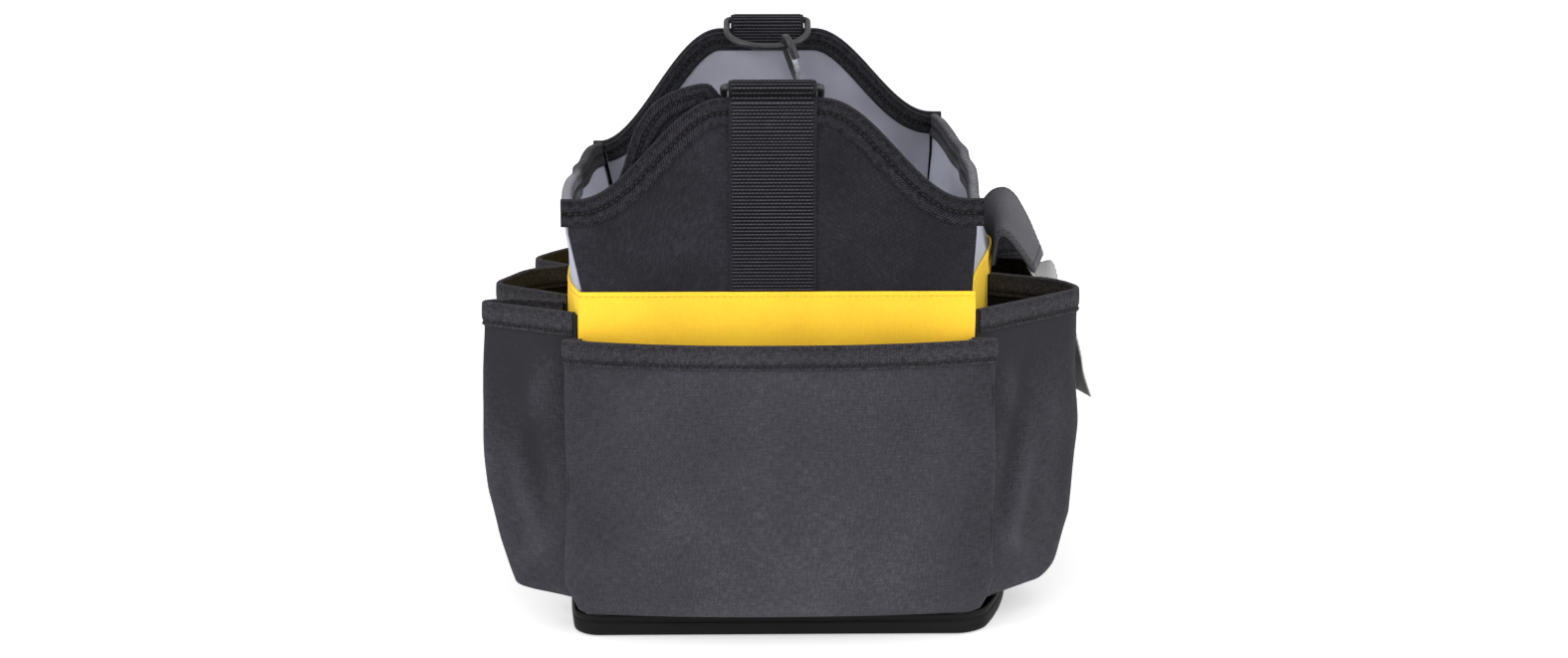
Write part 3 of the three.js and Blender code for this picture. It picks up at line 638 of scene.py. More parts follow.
def end_tape(name, end, half, limit, front, ply, top, tape, leg):
    x = np.linspace(-limit, limit, 141)
    z = top(end, np.clip(x, -half, half))
    middle = np.stack([x, np.full_like(x, end["side"] * (front - ply / 2)), z], axis=1)
    along = tangents(middle)
    inward = np.stack([along[:, 2], 0 * x, -along[:, 0]], axis=1)
    normal = np.tile([0, end["side"], 0.0], (len(x), 1))
    for face in (1, -1):
        lift = ply / 2 + tape - STITCH_SINK
        STITCHES.append((middle + inward * leg * GROOVE + normal * face * lift)[3:-3])
    return folded_tape(name, middle, inward, normal, ply, leg, tape, BINDING_TAPE)


for key, end in ENDS.items():
    outside = end_tape(f"dressed_{key}_edge_binding", end, TOP_HALF, TAPE_REACH, HALF,
                       PANEL_PLY, end_top, TAPE, TAPE_LEG)
    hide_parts(f"{key}_edge_binding")
    inside = end_tape(f"dressed_{key}_lining_binding", end, TOP_HALF - LINING_INSET, LINING_REACH,
                      LINING_FRONT, LINING_PLY, lining_top, LINING_TAPE, LINING_LEG)
    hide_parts(f"{key}_lining_binding")
print("edge tapes", len(STITCHES), "stitch runs")

# %% [markdown]
# ## Side walls
# Each side wall is one grey sheet from the tray to its taped top edge, dark below the yellow band, and the
# whole sheet is painted paler for the light on it. It waves a little along its top, where nothing holds it,
# and its tape puckers and carries painted sheen, paler towards the near end.

# %% Side walls
# Painted sheen and shade on the side tapes: below 0 darker, above 0 paler.
TAPE_SHEEN = {"left": (-1.0, 0.3), "right": (-0.6, -0.2)}  # at the far end and at the near end
WALL_RUN = 154.9  # beyond it the wall drops to a low tongue behind the end panel
TONGUE, TONGUE_DROP = [155.0, 156.7], 19
WALL_SLACK, SLACK_LOW, SLACK_TAPE = 1.2, 214, 16  # the wave dies out at the band and under the tape
PUCKER_PITCH, PUCKER_OUT, PUCKER_UP = 96, 0.6, 0.3
LEAN_RUN, SHEEN_FROM, SHEEN_RUN = 15, 20, 70
for key, side in (("left", -1), ("right", 1)):
    y = np.concatenate([[-t for t in TONGUE[::-1]], np.linspace(-WALL_RUN, WALL_RUN, 91), TONGUE])
    high = np.where(np.abs(y) > WALL_RUN + 0.05, side_top(side, y) - TONGUE_DROP, side_top(side, y))
    z = lerp(FLOOR_GAP, high[:, None], np.linspace(0, 1, 62)[None, :])
    yy = np.broadcast_to(y[:, None], z.shape)
    x = wall_x(side, yy, z)
    slack = WALL_SLACK * share((z - SLACK_LOW) / 10) * share((high[:, None] - SLACK_TAPE - z) / 12)
    x = x - slack * (0.5 + 0.5 * swell(yy, z, 31 + side, waves=6, size=80))
    outer = np.stack([side * x, yy, z], axis=2)
    inner = np.stack([side * (x - WALL_PLY), yy, z], axis=2)
    # The whole wall is painted paler, as painted light on the grey sheet.
    wall = sew(f"dressed_{key}_side_panel", outer, inner, GREY_CLOTH, wear_and_light=np.full(z.shape, 1.2))
    wall.data.materials.append(PANEL_CLOTH)
    for face in wall.data.polygons:
        outside = face.normal.x * side > 0.5
        face.material_index = int(outside and face.center.z < (BAND_LOW + 2) * MM)
    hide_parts(f"{key}_side_panel")
    run = np.linspace(-WALL_RUN, WALL_RUN, 121)
    top = side_top(side, run)
    wave = 2 * math.pi * run / PUCKER_PITCH + 1.2 * np.sin(run / 31)
    pucker = np.sin(wave) * share((150 - np.abs(run)) / 20)
    out = wall_x(side, run, top) - WALL_PLY / 2 + PUCKER_OUT * pucker
    edge = np.stack([side * out, run, top + PUCKER_UP * pucker], axis=1)
    lean = (wall_x(side, run, top - LEAN_RUN) - wall_x(side, run, top)) / LEAN_RUN
    inward = np.stack([side * lean, 0 * run, -np.ones_like(run)], axis=1)
    normal = np.tile([side, 0, 0.0], (len(run), 1))
    # Painted sheen along the tape: darker towards the far end, paler towards the near end.
    tape_sheen = lerp(*TAPE_SHEEN[key], share((SHEEN_FROM - run) / SHEEN_RUN))
    tape = folded_tape(f"dressed_{key}_edge_binding", edge, inward, normal, WALL_PLY, TAPE_LEG, TAPE,
                       LIT_SIDE_TAPE, pale=tape_sheen)
    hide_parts(f"{key}_edge_binding")
    lift = WALL_PLY / 2 + TAPE - STITCH_SINK
    for face in (1, -1):
        STITCHES.append((edge + inward * TAPE_LEG * GROOVE + normal * face * lift)[2:-2])
print("side walls", len(STITCHES), "stitch runs")

# %% [markdown]
# ## Yellow band
# One strip of yellow cloth runs round the body, behind the pockets. A row of stitches holds its top edge.

# %% Yellow band
def body_loop(off, z):
    run = np.linspace(-HALF, HALF, 81)

    def edge(side):
        past = np.where(np.abs(run) == HALF, np.sign(run) * (off - 0.01), 0)
        return np.stack([side * (wall_x(side, run, z) + off), run + past, np.full_like(run, z)], axis=1)

    s = np.linspace(1, -1, 61)[1:-1]
    x = s * (reach_at(s, z) + off)
    end_y = np.full_like(x, HALF + off - 0.01)
    far_run = np.stack([x, end_y, np.full_like(x, z)], axis=1)
    near_run = (far_run * [1, -1, 1])[::-1]
    return np.concatenate([edge(1), far_run, edge(-1)[::-1], near_run])


BAND_RUN = 900  # shorter than the loop is, which draws its swellings out along the band
# Painted light on the band: a highlight along its top edge, and paler long sides where more light falls.
EDGE_PALE, SIDE_PALE = 0.6, 0.7
rows = np.linspace(BAND_LOW, BAND_TOP, 30)
outer = np.stack([body_loop(GAP + BAND_PLY, z) for z in rows], axis=1)
inner = np.stack([body_loop(GAP, z) for z in rows], axis=1)
loop_run = np.linspace(0, BAND_RUN, len(outer))[:, None]
swelling = 0.35 * swell(loop_run, rows[None, :], seed=5, waves=8, size=55) * share((BAND_TOP - 1 - rows) / 6)
outward = normals(outer, middle=np.array([0, 0, (BAND_LOW + BAND_TOP) / 2]), ring=True)
pale = share((rows - BAND_TOP + 2.0) / 2) * EDGE_PALE + SIDE_PALE * (np.abs(outer[..., 1]) < HALF)
bulge = outward * np.maximum(swelling, -0.1)[..., None]
band = sew("dressed_yellow_band", outer + bulge, inner, YELLOW_CLOTH, ring=True, wear_and_light=pale)
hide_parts("yellow_band")
BAND_STITCHES = [body_loop(GAP + BAND_PLY + 0.15, BAND_TOP - 2.6)]
print(band.name, len(band.data.polygons), "faces")

# %% [markdown]
# ## Straps
# This webbing has heavy ribs across its width, 2 mm apart, between two smooth selvages. The ribs are real
# relief, so they show along the strap's rounded top as well as on its face, and their crests get painted
# highlights. The strap goes up the panel, round the ring's bar and down inside, and it is pinched to a valley
# under the bar that is painted dark as shadow.

# %% Straps
RIB, STRAP_STEP, RING_WIRE = 2.0, 0.5, 2.25
ARCH_RISE = 3.5  # the loop's round part starts this far above the panel's top
STEP_LOW, STEP_HIGH, LOOP_END = 24, 17, 10  # below it: the step over the edge tape, and the inner end
WEB_FLOOR, RIB_RISE, DASH_RISE, RIBBED_HALF = 0.75, 0.8, 0.2, 23.4
SELVAGE = [22.6, 23.2, 24, 24.6, 25]  # columns from the last rib to the strap's edge


def strap_line(hump):
    """The strap's inner line as (distance along the bag, height), the bar's place and the bar's height."""
    front, tape = HALF + GAP, HALF + TAPE + 2 * GAP
    back = LINING_FRONT - LINING_PLY - LINING_TAPE - 2 * GAP
    middle, radius, arch = (tape + back) / 2, (tape - back) / 2, hump + ARCH_RISE
    line = [[front, BAND_TOP + 0.5], [front, hump - STEP_LOW], [tape, hump - STEP_HIGH]]
    turn = np.linspace(0, math.pi, 25)
    line += [[middle + radius * math.cos(t), arch + radius * math.sin(t)] for t in turn]
    line += [[back, hump - LOOP_END]]
    return np.array(line), middle, arch + radius - RING_WIRE - GAP


for key, end in ENDS.items():
    line, _ = resample(strap_line(end["hump"])[0], STRAP_STEP)
    line = soften(line, 6)
    rise = np.where(line[:, 0] > HALF - 3, line[:, 1] - end["hump"], np.inf)
    valley = np.exp(-(((rise - ARCH_RISE) / 2.0) ** 2))
    line[:, 0] += 0.4 * np.exp(-(((rise + 0.8) / 1.3) ** 2)) - 1.6 * valley
    x = np.concatenate([[-e for e in SELVAGE[::-1]], np.linspace(-22, 22, 56), SELVAGE])
    along = tangents(np.column_stack([np.zeros(len(line)), line]))
    lift = np.stack([along[:, 2], -along[:, 1]], axis=1)
    run = np.arange(len(line)) * STRAP_STEP
    rib = np.abs(np.sin(math.pi * run / RIB))[None] ** 0.8
    count = np.floor(run / RIB)[None]
    dash = 0.5 + 0.5 * np.sin(2 * math.pi * x[:, None] / 2.4 + math.pi * count)
    middle = share((RIBBED_HALF - np.abs(x)) / 0.8)[:, None]
    side = np.abs(x[:, None])
    selvage = 1.25 - 0.75 * share((side - 24.2) / 0.8) ** 2 - 0.2 * np.exp(-(((side - 22.9) / 0.4) ** 2))
    thick = lerp(selvage, WEB_FLOOR + RIB_RISE * rib + DASH_RISE * rib * dash, middle)

    def place(offset):
        yz = line[None] + lift[None] * offset[..., None]
        xx = np.broadcast_to(x[:, None], yz.shape[:2])
        return np.stack([xx, end["side"] * yz[..., 0], yz[..., 1]], axis=2)

    # Painted highlights on the rib crests, strongest on the dashes, and painted shadow in the valley under
    # the bar.
    wear_and_light = middle * (1.6 * rib**4 * (0.6 + 0.4 * dash) - 0.62) - 0.6 * valley[None]
    strap = sew(f"dressed_{key}_strap", place(thick), place(0 * thick), WEBBING, wear_and_light=wear_and_light, sharp=85)
    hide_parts(f"{key}_strap")
    print(strap.name, len(strap.data.polygons), "faces")

# %% [markdown]
# ## Rings and hook
# The D-rings and the hook are bent wire, rebuilt with rounder sections on the same centre lines. The hook's
# spring leaf is a thin strip of steel.

# %% Rings and hook
RING_REST, HOOK_LEAN = math.radians(30), math.radians(20)
RING_HALF, RING_CORNER, RING_SHOULDER, RING_BOW, BAR_HALF = 27.75, 2.6, 12, 19, 24
HOOK_WIRE, HOOK_BEND, HOOK_PLAY, HOOK_SIDE = 2.5, 7.5, 0.5, 13.7
EYE_RADIUS, EYE_DROP, GATE_HALF, WIRE_STEP = 9, 49, 1.8, 1.2


def ring_point(end, x, depth):
    _, middle, bar = strap_line(end["hump"])
    y = middle - depth * math.cos(RING_REST)
    return np.array([x, end["side"] * y, bar - depth * math.sin(RING_REST)])


def ring_curve(t):
    return RING_HALF * math.cos(t), RING_SHOULDER + RING_BOW * math.sin(t)


def ring_corner(t):
    return RING_HALF - RING_CORNER + RING_CORNER * math.sin(t), RING_CORNER - RING_CORNER * math.cos(t)


for key, end in ENDS.items():
    corner = [ring_corner(t) for t in np.linspace(0, math.pi / 2, 9)]
    bow = [ring_curve(t) for t in np.linspace(0, math.pi, 57)]
    plan = corner + bow + [(-x, d) for x, d in corner[::-1]]
    bar = [(x, 0.0) for x in np.linspace(-BAR_HALF, BAR_HALF, 17)]
    path = [ring_point(end, x, d) for x, d in plan + bar]
    ring = wire(f"dressed_{key}_d_ring", path, RING_WIRE, 24, COATED_WIRE, f"{key}_ring", loop=True)
    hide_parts(f"{key}_d_ring")

far = ENDS["far"]
turn = math.acos(HOOK_SIDE / RING_HALF)
wire_at = ring_point(far, *ring_curve(turn))
tangent = ring_point(far, *ring_curve(turn - 0.05)) - ring_point(far, *ring_curve(turn + 0.05))
tangent /= np.linalg.norm(tangent)
down = np.array([math.sin(HOOK_LEAN), 0, -math.cos(HOOK_LEAN)])
across = tangent - down * np.dot(tangent, down)
across /= np.linalg.norm(across)
sideways = np.cross(down, across)
hook_centre = wire_at + down * (HOOK_BEND - HOOK_WIRE - RING_WIRE - HOOK_PLAY)


def hook_point(s, d):
    return hook_centre + sideways * s + down * d


bend = [(HOOK_BEND * math.cos(t), -HOOK_BEND * math.sin(t)) for t in np.linspace(0, math.pi, 25)]
eye = [(EYE_RADIUS * math.sin(t), EYE_DROP - EYE_RADIUS * math.cos(t)) for t in np.linspace(0.5, 5.7, 40)]
shank = [(-HOOK_BEND, 14), (-6.5, 21), (-2, 29), (0, 33), (0, 39)]
hook_plan = [(HOOK_BEND, 8), (HOOK_BEND, 4)] + bend + shank + eye
hook_path, _ = resample([hook_point(s, d) for s, d in hook_plan], WIRE_STEP)
hook = wire("dressed_snap_hook", soften(hook_path, 3), HOOK_WIRE, 20, COATED_WIRE, "far_ring")
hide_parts("snap_hook")

gate_line, _ = resample([(5.35, 3.5), (3.9, 11), (0.65, 24)], WIRE_STEP)
gate_line = soften(gate_line, 3)


def gate_face(out):
    strips = np.linspace(-GATE_HALF, GATE_HALF, 7)
    return np.array([[hook_point(s + out, d) + across * w for s, d in gate_line] for w in strips])


gate = sew("dressed_hook_gate", gate_face(-0.7), gate_face(-2.3), BRIGHT_STEEL, body="gate")
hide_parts("hook_gate")
for piece in (ring, hook, gate):
    print(piece.name, len(piece.data.polygons), "faces")

# %% [markdown]
# ## Pockets
# Each pocket is one sheet from wall seam to wall seam, open at the top. The plan is its outline seen from
# above, and a row table says how far the cloth stands out at each height: it tucks in at the foot and
# bellies out above. Creases are short lines in the cloth's own plane, each with a width and a height, and
# they die out at the seams and under the rim tape.

# %% Pocket builder
POCKET_PLY, SEAM = 1.6, 2.1
RIM_LEG, RIM_GROOVE, RIM_TAPE = 13, 0.8, 1.2
RIM_STOP, TUCK_TOP, PLAN_STEP = 3.6, 36, 2.0
SEAM_HOLD, RIM_HOLD, FOOT_HOLD = 12, 15, 21  # folds die out near the seams, the rim tape and the foot
FULL_DEPTH, FULL_WIDTH = 55, 125  # these make the shares count in millimetres while rows are resampled
DENSE_ROWS = 70  # the foot keeps every row, and above it every third row is enough


def belly(rows, rim):
    """Rows of (height, depth share, width share), resampled and softened up to the rim."""
    rows = rows + [(rim - 16, 1, 1), (rim, 1, 1)]
    fine, _ = resample([(z, d * FULL_DEPTH, w * FULL_WIDTH) for z, d, w in rows], 1.3)
    fine = soften(fine, 3)
    last = len(fine) - 1
    dense = np.arange(0, min(DENSE_ROWS, len(fine)))
    keep = np.unique(np.concatenate([dense, np.arange(DENSE_ROWS, len(fine), 3), [last]]))
    return fine[keep, 0], fine[keep, 1] / FULL_DEPTH, fine[keep, 2] / FULL_WIDTH


def crease(u, z, lines):
    """Sum of soft ridges; each line is (u0, z0, u1, z1, width, height) in millimetres along the cloth."""
    total = np.zeros_like(u)
    for u0, z0, u1, z1, width, height in lines:
        du, dz = u1 - u0, z1 - z0
        t = share(((u - u0) * du + (z - z0) * dz) / (du * du + dz * dz))
        off = np.hypot(u - u0 - t * du, z - z0 - t * dz)
        total = total + height * np.exp(-((off / width) ** 2)) * np.sin(math.pi * (0.12 + 0.76 * t))
    return total


def pocket(name, plan, anchor, rows, rim, lines, seed, node, tone, tuck=0.0):
    """tone is painted light and shade in each part; tuck draws an end pocket's foot in along y."""
    z, depth, width = belly(rows, rim)
    foot = anchor(z)
    grid = foot + (plan[:, None] - foot) * depth[None, :, None]
    grid[..., 0] *= width[None]
    grid[..., 1] -= tuck * share((TUCK_TOP - z) / 10)[None]
    grid[..., 2] = z[None]
    middle = (foot[0, -1] + foot[-1, -1]) / 2 + np.array([0, 0, rim / 2])
    run = path_run(plan)
    u, zz = np.meshgrid(run, z, indexing="ij")
    free = share(u / SEAM_HOLD) * share((run[-1] - u) / SEAM_HOLD)
    free = free * share((rim - RIM_HOLD - zz) / 14) * share((zz - FOOT_HOLD) / 10)
    out = normals(grid, middle=middle)
    puff = free * (0.8 * swell(u, zz, seed, waves=7, size=75) + crease(u, zz, lines))
    outer = grid + out * puff[..., None]
    inner = outer - normals(outer, middle=middle) * POCKET_PLY
    # Painted light and shade: highlights on the plan's bends and fold ridges, paler low down, darker under
    # the rim and at the seams.
    bent = np.linalg.norm(np.gradient(tangents(plan), axis=0), axis=1)
    wear_and_light = share(bent * 2.2)[:, None] * 0.3 + share((30 - zz) / 10) * 0.2
    wear_and_light = wear_and_light + lerp(tone["foot"], tone["rim"], share(zz / rim)) + tone["fold"] * puff
    wear_and_light = wear_and_light + tone["sides"] * np.abs(2 * u / run[-1] - 1) ** 3
    made = sew(name, outer, inner, POCKET_CLOTH, wear_and_light=wear_and_light, sharp=60, lining=PANEL_CLOTH)
    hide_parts(node)
    edge = plan.copy()
    for tip, step in ((0, plan[1] - plan[0]), (-1, plan[-2] - plan[-1])):
        length = np.linalg.norm(step)
        edge[tip] += step / length * min(RIM_STOP, length * 0.9)
    along = tangents(plan)
    side = np.stack([along[:, 1], -along[:, 0], np.zeros(len(plan))], axis=1)
    side *= np.sign((side * (plan - middle)).sum())
    edge = edge - side * POCKET_PLY / 2 + np.array([0, 0, rim])
    inward = np.tile([0, 0, -1.0], (len(edge), 1))
    tape = folded_tape(f"{name}_tape", edge, inward, side, POCKET_PLY, RIM_LEG, RIM_TAPE, POCKET_TAPE,
                       groove=RIM_GROOVE)
    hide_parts(f"{node}_binding")
    lift = POCKET_PLY / 2 + RIM_TAPE - STITCH_SINK
    STITCHES.append((edge + inward * RIM_LEG * RIM_GROOVE + side * lift)[2:-2])


print("pocket builder ready")

# %% [markdown]
# The two end pockets are wide and shallow, with the fullest part low down, and slack folds run in from their
# lower corners. Their feet are tucked in to the end panels, just above the tray.

# %% End pockets
END_RIM, END_MIDDLE, END_CORNER = 180, 186, 168.5  # the rim's height; how far out its middle and corners are
END_LEFT, END_RIGHT, END_SEAMS, END_FOOT = 121.5, 130, (-108, 113), 0.93
# Painted light and shade on the end pockets: paler at the foot, darker at the rim and towards the seams.
END_TONE = {"foot": 0.2, "rim": -0.32, "fold": 0.07, "sides": -1.1}
END_ROWS = [(14, 0.05, 0.935), (14.4, 0.45, 0.95), (17, 0.7, 0.975), (24, 0.9, 0.988), (36, 1.03, 1),
            (64, 1.11, 1), (115, 1.06, 1)]
END_LINES = {
    "near": [(20, 40, 95, 78, 12, 0.9), (40, 24, 120, 60, 11, -0.7), (215, 36, 165, 74, 12, 0.8),
             (230, 52, 200, 96, 10, -0.9), (30, 120, 60, 60, 12, 1.0), (235, 130, 215, 66, 10, 1.2),
             (110, 150, 125, 70, 16, -0.9), (150, 60, 190, 140, 15, 0.9)],
    "far": [(30, 36, 100, 72, 10, 1.4), (220, 40, 170, 80, 10, 1.4), (60, 130, 75, 60, 12, -1.0)],
}
for key, end in ENDS.items():
    s = np.linspace(-1, 1, 161)
    y = lerp(END_MIDDLE, END_CORNER, np.abs(s) ** 2.4) - 2.6 * share((np.abs(s) - 0.96) / 0.04) ** 2
    front = np.stack([s * np.where(s < 0, END_LEFT, END_RIGHT), end["side"] * y, 0 * s], axis=1)
    seam_y = HALF + SEAM + POCKET_PLY - GAP
    seams = [[[x, end["side"] * seam_y, 0]] for x in END_SEAMS]
    plan, _ = resample(np.concatenate([seams[0], front, seams[1]]), PLAN_STEP)
    plan = soften(plan, 2)

    def anchor(z, plan=plan, end=end, seam_y=seam_y):
        x = plan[:, 0]
        foot = np.stack([x * END_FOOT, np.full_like(x, end["side"] * seam_y), 0 * x], axis=1)
        return np.repeat(foot[:, None], len(z), axis=1)

    pocket(f"dressed_{key}_end_pocket", plan, anchor, END_ROWS, END_RIM, END_LINES[key], 41 + end["side"],
           f"{key}_end_pocket", END_TONE, tuck=end["side"] * (SEAM - 0.2))
print("end pockets", len(STITCHES), "stitch runs")

# %% [markdown]
# The side pockets stand out like gussets: the near face of each one is what the camera sees at the sides
# of the bag, so the creases are on that face.

# %% Side pockets
# Painted shade on the side pockets, darkest under the rim, and painted highlights on their fold ridges.
SIDE_TONE = {"foot": -0.15, "rim": -1.75, "fold": 0.26, "sides": 0}
CORNER_RADIUS = 13
SIDE_ROWS = {
    -1: [(21.2, 0.02, 1), (22.2, 0.55, 1), (23.2, 0.71, 1), (50, 0.872, 1), (80, 0.985, 1), (140, 1.02, 1)],
    1: [(17.4, 0.02, 1), (18.3, 0.55, 1), (19.2, 0.745, 1), (25, 0.825, 1), (55, 0.975, 1), (110, 1.03, 1)],
}
# Wall seams (near, far), outer corners (x, y) at the near and at the far side, and the rim's height.
SIDE_POCKETS = {
    "left_pocket_near": (-159, -126, 176, -124, 150, -116, 194),
    "left_pocket_middle": (-54, 46, 176, -17, 157, 30, 182),
    "left_pocket_far": (53, 150, 159, 84, 148, 106, 178),
    "right_pocket_near": (-159, -50, 188, -98, 177, -72, 195),
    "right_pocket_flap": (-44, 58, 172, -34, 172, 48, 184),
    "right_pocket_far": (64, 159, 176, 76, 170, 128, 196),
}
SIDE_LINES = [(14, 168, 40, 120, 8, 2.2), (40, 160, 24, 70, 7, -2.2), (50, 120, 30, 44, 8, 2.4),
              (20, 60, 56, 34, 8, 2.0), (66, 150, 60, 60, 9, 1.6), (90, 150, 80, 50, 10, -1.6),
              (110, 140, 100, 60, 10, 1.6)]


def rounded(corners, radius, steps):
    path = [corners[0]]
    for before, corner, after in zip(corners, corners[1:], corners[2:]):
        one, two = np.linalg.norm(corner - before), np.linalg.norm(corner - after)
        cut = min(radius, one * 0.45, two * 0.45)
        start, stop = corner + (before - corner) * cut / one, corner + (after - corner) * cut / two
        for t in np.linspace(0, 1, steps + 1):
            path.append((1 - t) ** 2 * start + 2 * t * (1 - t) * corner + t * t * stop)
    return np.array(path + [corners[-1]])


for index, (name, (start, stop, near_x, near_y, far_x, far_y, rim)) in enumerate(SIDE_POCKETS.items()):
    side = -1 if name.startswith("left") else 1

    def slant(wall_y, x, y, side=side):
        out, along = x - wall_x(side, wall_y, BAND_LOW), y - wall_y
        step = math.copysign(1, along)
        rise = wall_x(side, wall_y + step, BAND_LOW) - wall_x(side, wall_y, BAND_LOW)
        return abs(out * rise + along * step) / (math.hypot(out, along) * math.hypot(1, rise))

    slants = slant(start, near_x, near_y), slant(stop, far_x, far_y)

    def seam(y, z, side=side, start=start, stop=stop, slants=slants):
        lift = POCKET_PLY * lerp(*slants, (y - start) / (stop - start))
        return side * (wall_x(side, y, z) + SEAM + lift)

    corners = [np.array([seam(start, BAND_LOW), start, 0]), np.array([side * near_x, near_y, 0.0]),
               np.array([side * far_x, far_y, 0.0]), np.array([seam(stop, BAND_LOW), stop, 0])]
    rough = rounded(corners, CORNER_RADIUS, 3)
    run = path_run(rough)
    plan, spots = resample(rounded(corners, CORNER_RADIUS, 12), PLAN_STEP)
    plan = soften(plan, 1)
    wall_share = np.interp(spots, run / run[-1], np.linspace(0, 1, len(rough)))

    def anchor(z, wall_share=wall_share, seam=seam, start=start, stop=stop):
        y = lerp(start, stop, wall_share)[:, None] + 0 * z[None]
        return np.stack([seam(y, z[None] + 0 * y), y, 0 * y], axis=2)

    pocket(f"dressed_{name}", plan, anchor, SIDE_ROWS[side], rim, SIDE_LINES, 60 + index, name, SIDE_TONE)
print("side pockets", len(SIDE_POCKETS))

# %% [markdown]
# ## Flap and tab
# The middle pocket on the right has a padded flap that arches out from the wall, and a grey tab that hangs
# over the pocket's rim with its tail curling out. Both are cloth: a line of points (x, height) at the near
# edge and one at the far edge, and the sheet between them.

# %% Flap and tab
SHEET_STEP, ROOT_POINTS = 1.4, 3
FLAP_LINE = [(142.7, 199, 142.7, 203), (142.7, 210, 143.1, 216), (141.9, 217, 144, 225),
             (144, 220.3, 147, 231.5), (149, 217.5, 156, 233.5), (155, 210, 163, 228),
             (161, 201.5, 172, 212), (166, 195, 183, 186.4)]
TAB_LINE = [(161.5, 198, 170.1, 199), (163.5, 194, 173.6, 190.2), (166.2, 189.5, 176.3, 186.2),
            (169.8, 188, 179.2, 187.2), (176.5, 187.8, 184, 189.2), (180, 185.5, 186.4, 185),
            (181.9, 181, 188.2, 178), (188, 165, 192.5, 160), (194.3, 151, 196, 145),
            (197.9, 137, 198, 130), (199.3, 127, 199, 120), (202, 118.5, 200.2, 110),
            (204.8, 111, 201.4, 102.2)]


def hanging(name, line, look, node, near, far, ply, columns, follow=0, dark=0.0):
    """follow keeps the sheet's root on the bowed wall; dark paints shade on its near edge and its root."""
    table = np.array(line, float)
    root_share = share(1 - np.arange(len(table)) / ROOT_POINTS)
    sections = []
    for y in np.linspace(near, far, columns):
        t = (y - near) / (far - near)
        move = follow * (wall_x(1, y, BAND_LOW) - wall_x(1, 0, BAND_LOW)) * root_share
        path = np.stack([lerp(table[:, 0], table[:, 2], t) + move, lerp(table[:, 1], table[:, 3], t)], axis=1)
        count = len(sections[0]) if sections else len(resample(path, SHEET_STEP)[0])
        run = path_run(path)
        path = soften(along_path(path, run, np.linspace(0, run[-1], count)), 4)
        sections.append(np.stack([path[:, 0], np.full(count, y), path[:, 1]], axis=1))
    top = np.array(sections)
    along = np.gradient(top, axis=1)
    along /= np.linalg.norm(along, axis=2, keepdims=True)
    down = np.stack([along[..., 2], 0 * along[..., 0], -along[..., 0]], axis=2)
    rim = np.minimum(np.arange(columns), np.arange(columns)[::-1])[:, None] * (far - near) / (columns - 1)
    tip = np.arange(top.shape[1])[::-1][None] * SHEET_STEP
    edge = share(np.minimum(rim, tip) / (ply * 0.9))
    pinch = ply * 0.32 * (1 - np.sqrt(1 - (1 - edge) ** 2 * 0.98))
    outer, under = top + down * pinch[..., None], top + down * (ply - pinch)[..., None]
    near_run = np.linspace(0, far - near, columns)[:, None]
    root = np.linspace(0, 1, top.shape[1])[None]
    # Painted highlights along the sheet's edges, and painted shade at its near edge and root when dark is
    # set.
    wear_and_light = share(1 - np.minimum(rim, tip) / 4) * 0.6
    wear_and_light = wear_and_light - dark * np.maximum(share(1 - near_run / 14), share(1 - root / 0.45))
    made = sew(name, outer, under, look, wear_and_light=wear_and_light, sharp=80, lining=PANEL_CLOTH if dark else None)
    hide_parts(node)
    return made, top - down * 0.15


flap, flap_top = hanging("dressed_right_flap", FLAP_LINE, LIT_FLAP_CLOTH, "right_flap", near=-42, far=56, ply=3,
                         columns=57, follow=1, dark=1.5)
tab, tab_top = hanging("dressed_flap_tab", TAB_LINE, GREY_TAB, "flap_tab", near=-30, far=30, ply=1.4,
                       columns=33)
STITCHES += [flap_top[3, 4:-3], flap_top[3:-3, -4], flap_top[-4, 4:-3]]
TAB_STITCHES = [tab_top[2, 2:-3], tab_top[-3, 2:-3], tab_top[3:-3, -4]]
print("flap and tab", len(flap.data.polygons), len(tab.data.polygons), "faces")

# %% [markdown]
# ## Stitches
# A stitch run is a line just above the cloth. A node group walks along it, puts one small rounded stitch at
# every step and turns it along the line. The named inputs are the step and the thread's size.

# %% Stitch node group
STITCH_SIZES = {"Step": 0.0036, "Stitch length": 0.0027, "Thread": 0.0006}


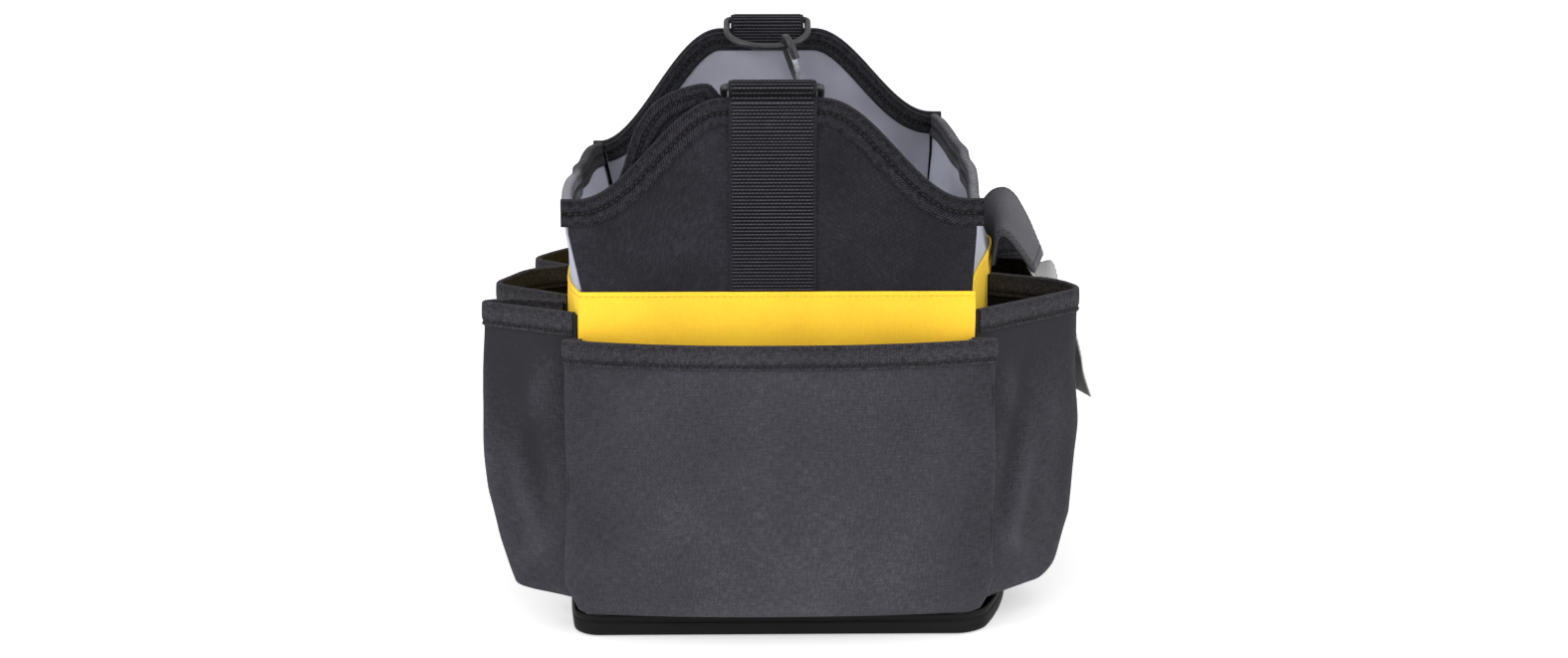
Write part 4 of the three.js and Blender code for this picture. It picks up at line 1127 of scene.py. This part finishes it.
def stitch_group(name, thread):
    group = bpy.data.node_groups.new(name, "GeometryNodeTree")
    group.interface.new_socket("Geometry", in_out="INPUT", socket_type="NodeSocketGeometry")
    sizes = {}
    for label, value in STITCH_SIZES.items():
        sizes[label] = group.interface.new_socket(label, in_out="INPUT", socket_type="NodeSocketFloat")
        sizes[label].default_value = value
    group.interface.new_socket("Geometry", in_out="OUTPUT", socket_type="NodeSocketGeometry")
    nodes = group.nodes
    start, end_node = nodes.new("NodeGroupInput"), nodes.new("NodeGroupOutput")
    curve = nodes.new("GeometryNodeMeshToCurve")
    steps = nodes.new("GeometryNodeResampleCurve")
    steps.mode = "LENGTH"
    ball = nodes.new("GeometryNodeMeshUVSphere")
    ball.inputs["Segments"].default_value = 6
    ball.inputs["Rings"].default_value = 5
    ball.inputs["Radius"].default_value = 0.5
    size = nodes.new("ShaderNodeCombineXYZ")
    aim = nodes.new("FunctionNodeAlignEulerToVector")
    aim.axis = "Z"
    along = nodes.new("GeometryNodeInputTangent")
    place = nodes.new("GeometryNodeInstanceOnPoints")
    real = nodes.new("GeometryNodeRealizeInstances")
    paint = nodes.new("GeometryNodeSetMaterial")
    paint.inputs["Material"].default_value = thread
    joins = [
        (start.outputs["Geometry"], curve.inputs["Mesh"]),
        (curve.outputs["Curve"], steps.inputs["Curve"]),
        (start.outputs["Step"], steps.inputs["Length"]),
        (start.outputs["Thread"], size.inputs["X"]),
        (start.outputs["Thread"], size.inputs["Y"]),
        (start.outputs["Stitch length"], size.inputs["Z"]),
        (along.outputs["Tangent"], aim.inputs["Vector"]),
        (steps.outputs["Curve"], place.inputs["Points"]),
        (ball.outputs["Mesh"], place.inputs["Instance"]),
        (aim.outputs["Rotation"], place.inputs["Rotation"]),
        (size.outputs["Vector"], place.inputs["Scale"]),
        (place.outputs["Instances"], real.inputs["Geometry"]),
        (real.outputs["Geometry"], paint.inputs["Geometry"]),
        (paint.outputs["Geometry"], end_node.inputs["Geometry"]),
    ]
    for out, into in joins:
        group.links.new(out, into)
    return group, {label: socket.identifier for label, socket in sizes.items()}


def stitch(name, runs, thread, width=STITCH_SIZES["Thread"]):
    points, edges = [], []
    for run in runs:
        first = len(points)
        points += (np.asarray(run) * MM).tolist()
        edges += [(k, k + 1) for k in range(first, len(points) - 1)]
    guide = bpy.data.meshes.new(f"{name}_guide")
    guide.from_pydata(points, edges, [])
    seam = bpy.data.objects.new(name, guide)
    bpy.context.scene.collection.objects.link(seam)
    group, inputs = stitch_group(f"{name}_run", thread)
    modifier = seam.modifiers.new("stitch_run", "NODES")
    modifier.node_group = group
    for label, value in {**STITCH_SIZES, "Thread": width}.items():
        modifier[inputs[label]] = value
    bpy.context.view_layer.update()
    sewn = bpy.data.meshes.new_from_object(seam.evaluated_get(bpy.context.evaluated_depsgraph_get()))
    seam.modifiers.remove(modifier)
    seam.data = sewn
    sewn.shade_smooth()
    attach(seam, "bag")
    print(name, len(sewn.polygons), "faces")


# %% Stitch the bag
stitch("dark_stitches", STITCHES, THREAD)
stitch("band_stitches", BAND_STITCHES, YELLOW_THREAD, width=0.0005)
stitch("tab_stitches", TAB_STITCHES, GREY_THREAD, width=0.0004)

# %% Finish
bpy.context.view_layer.update()
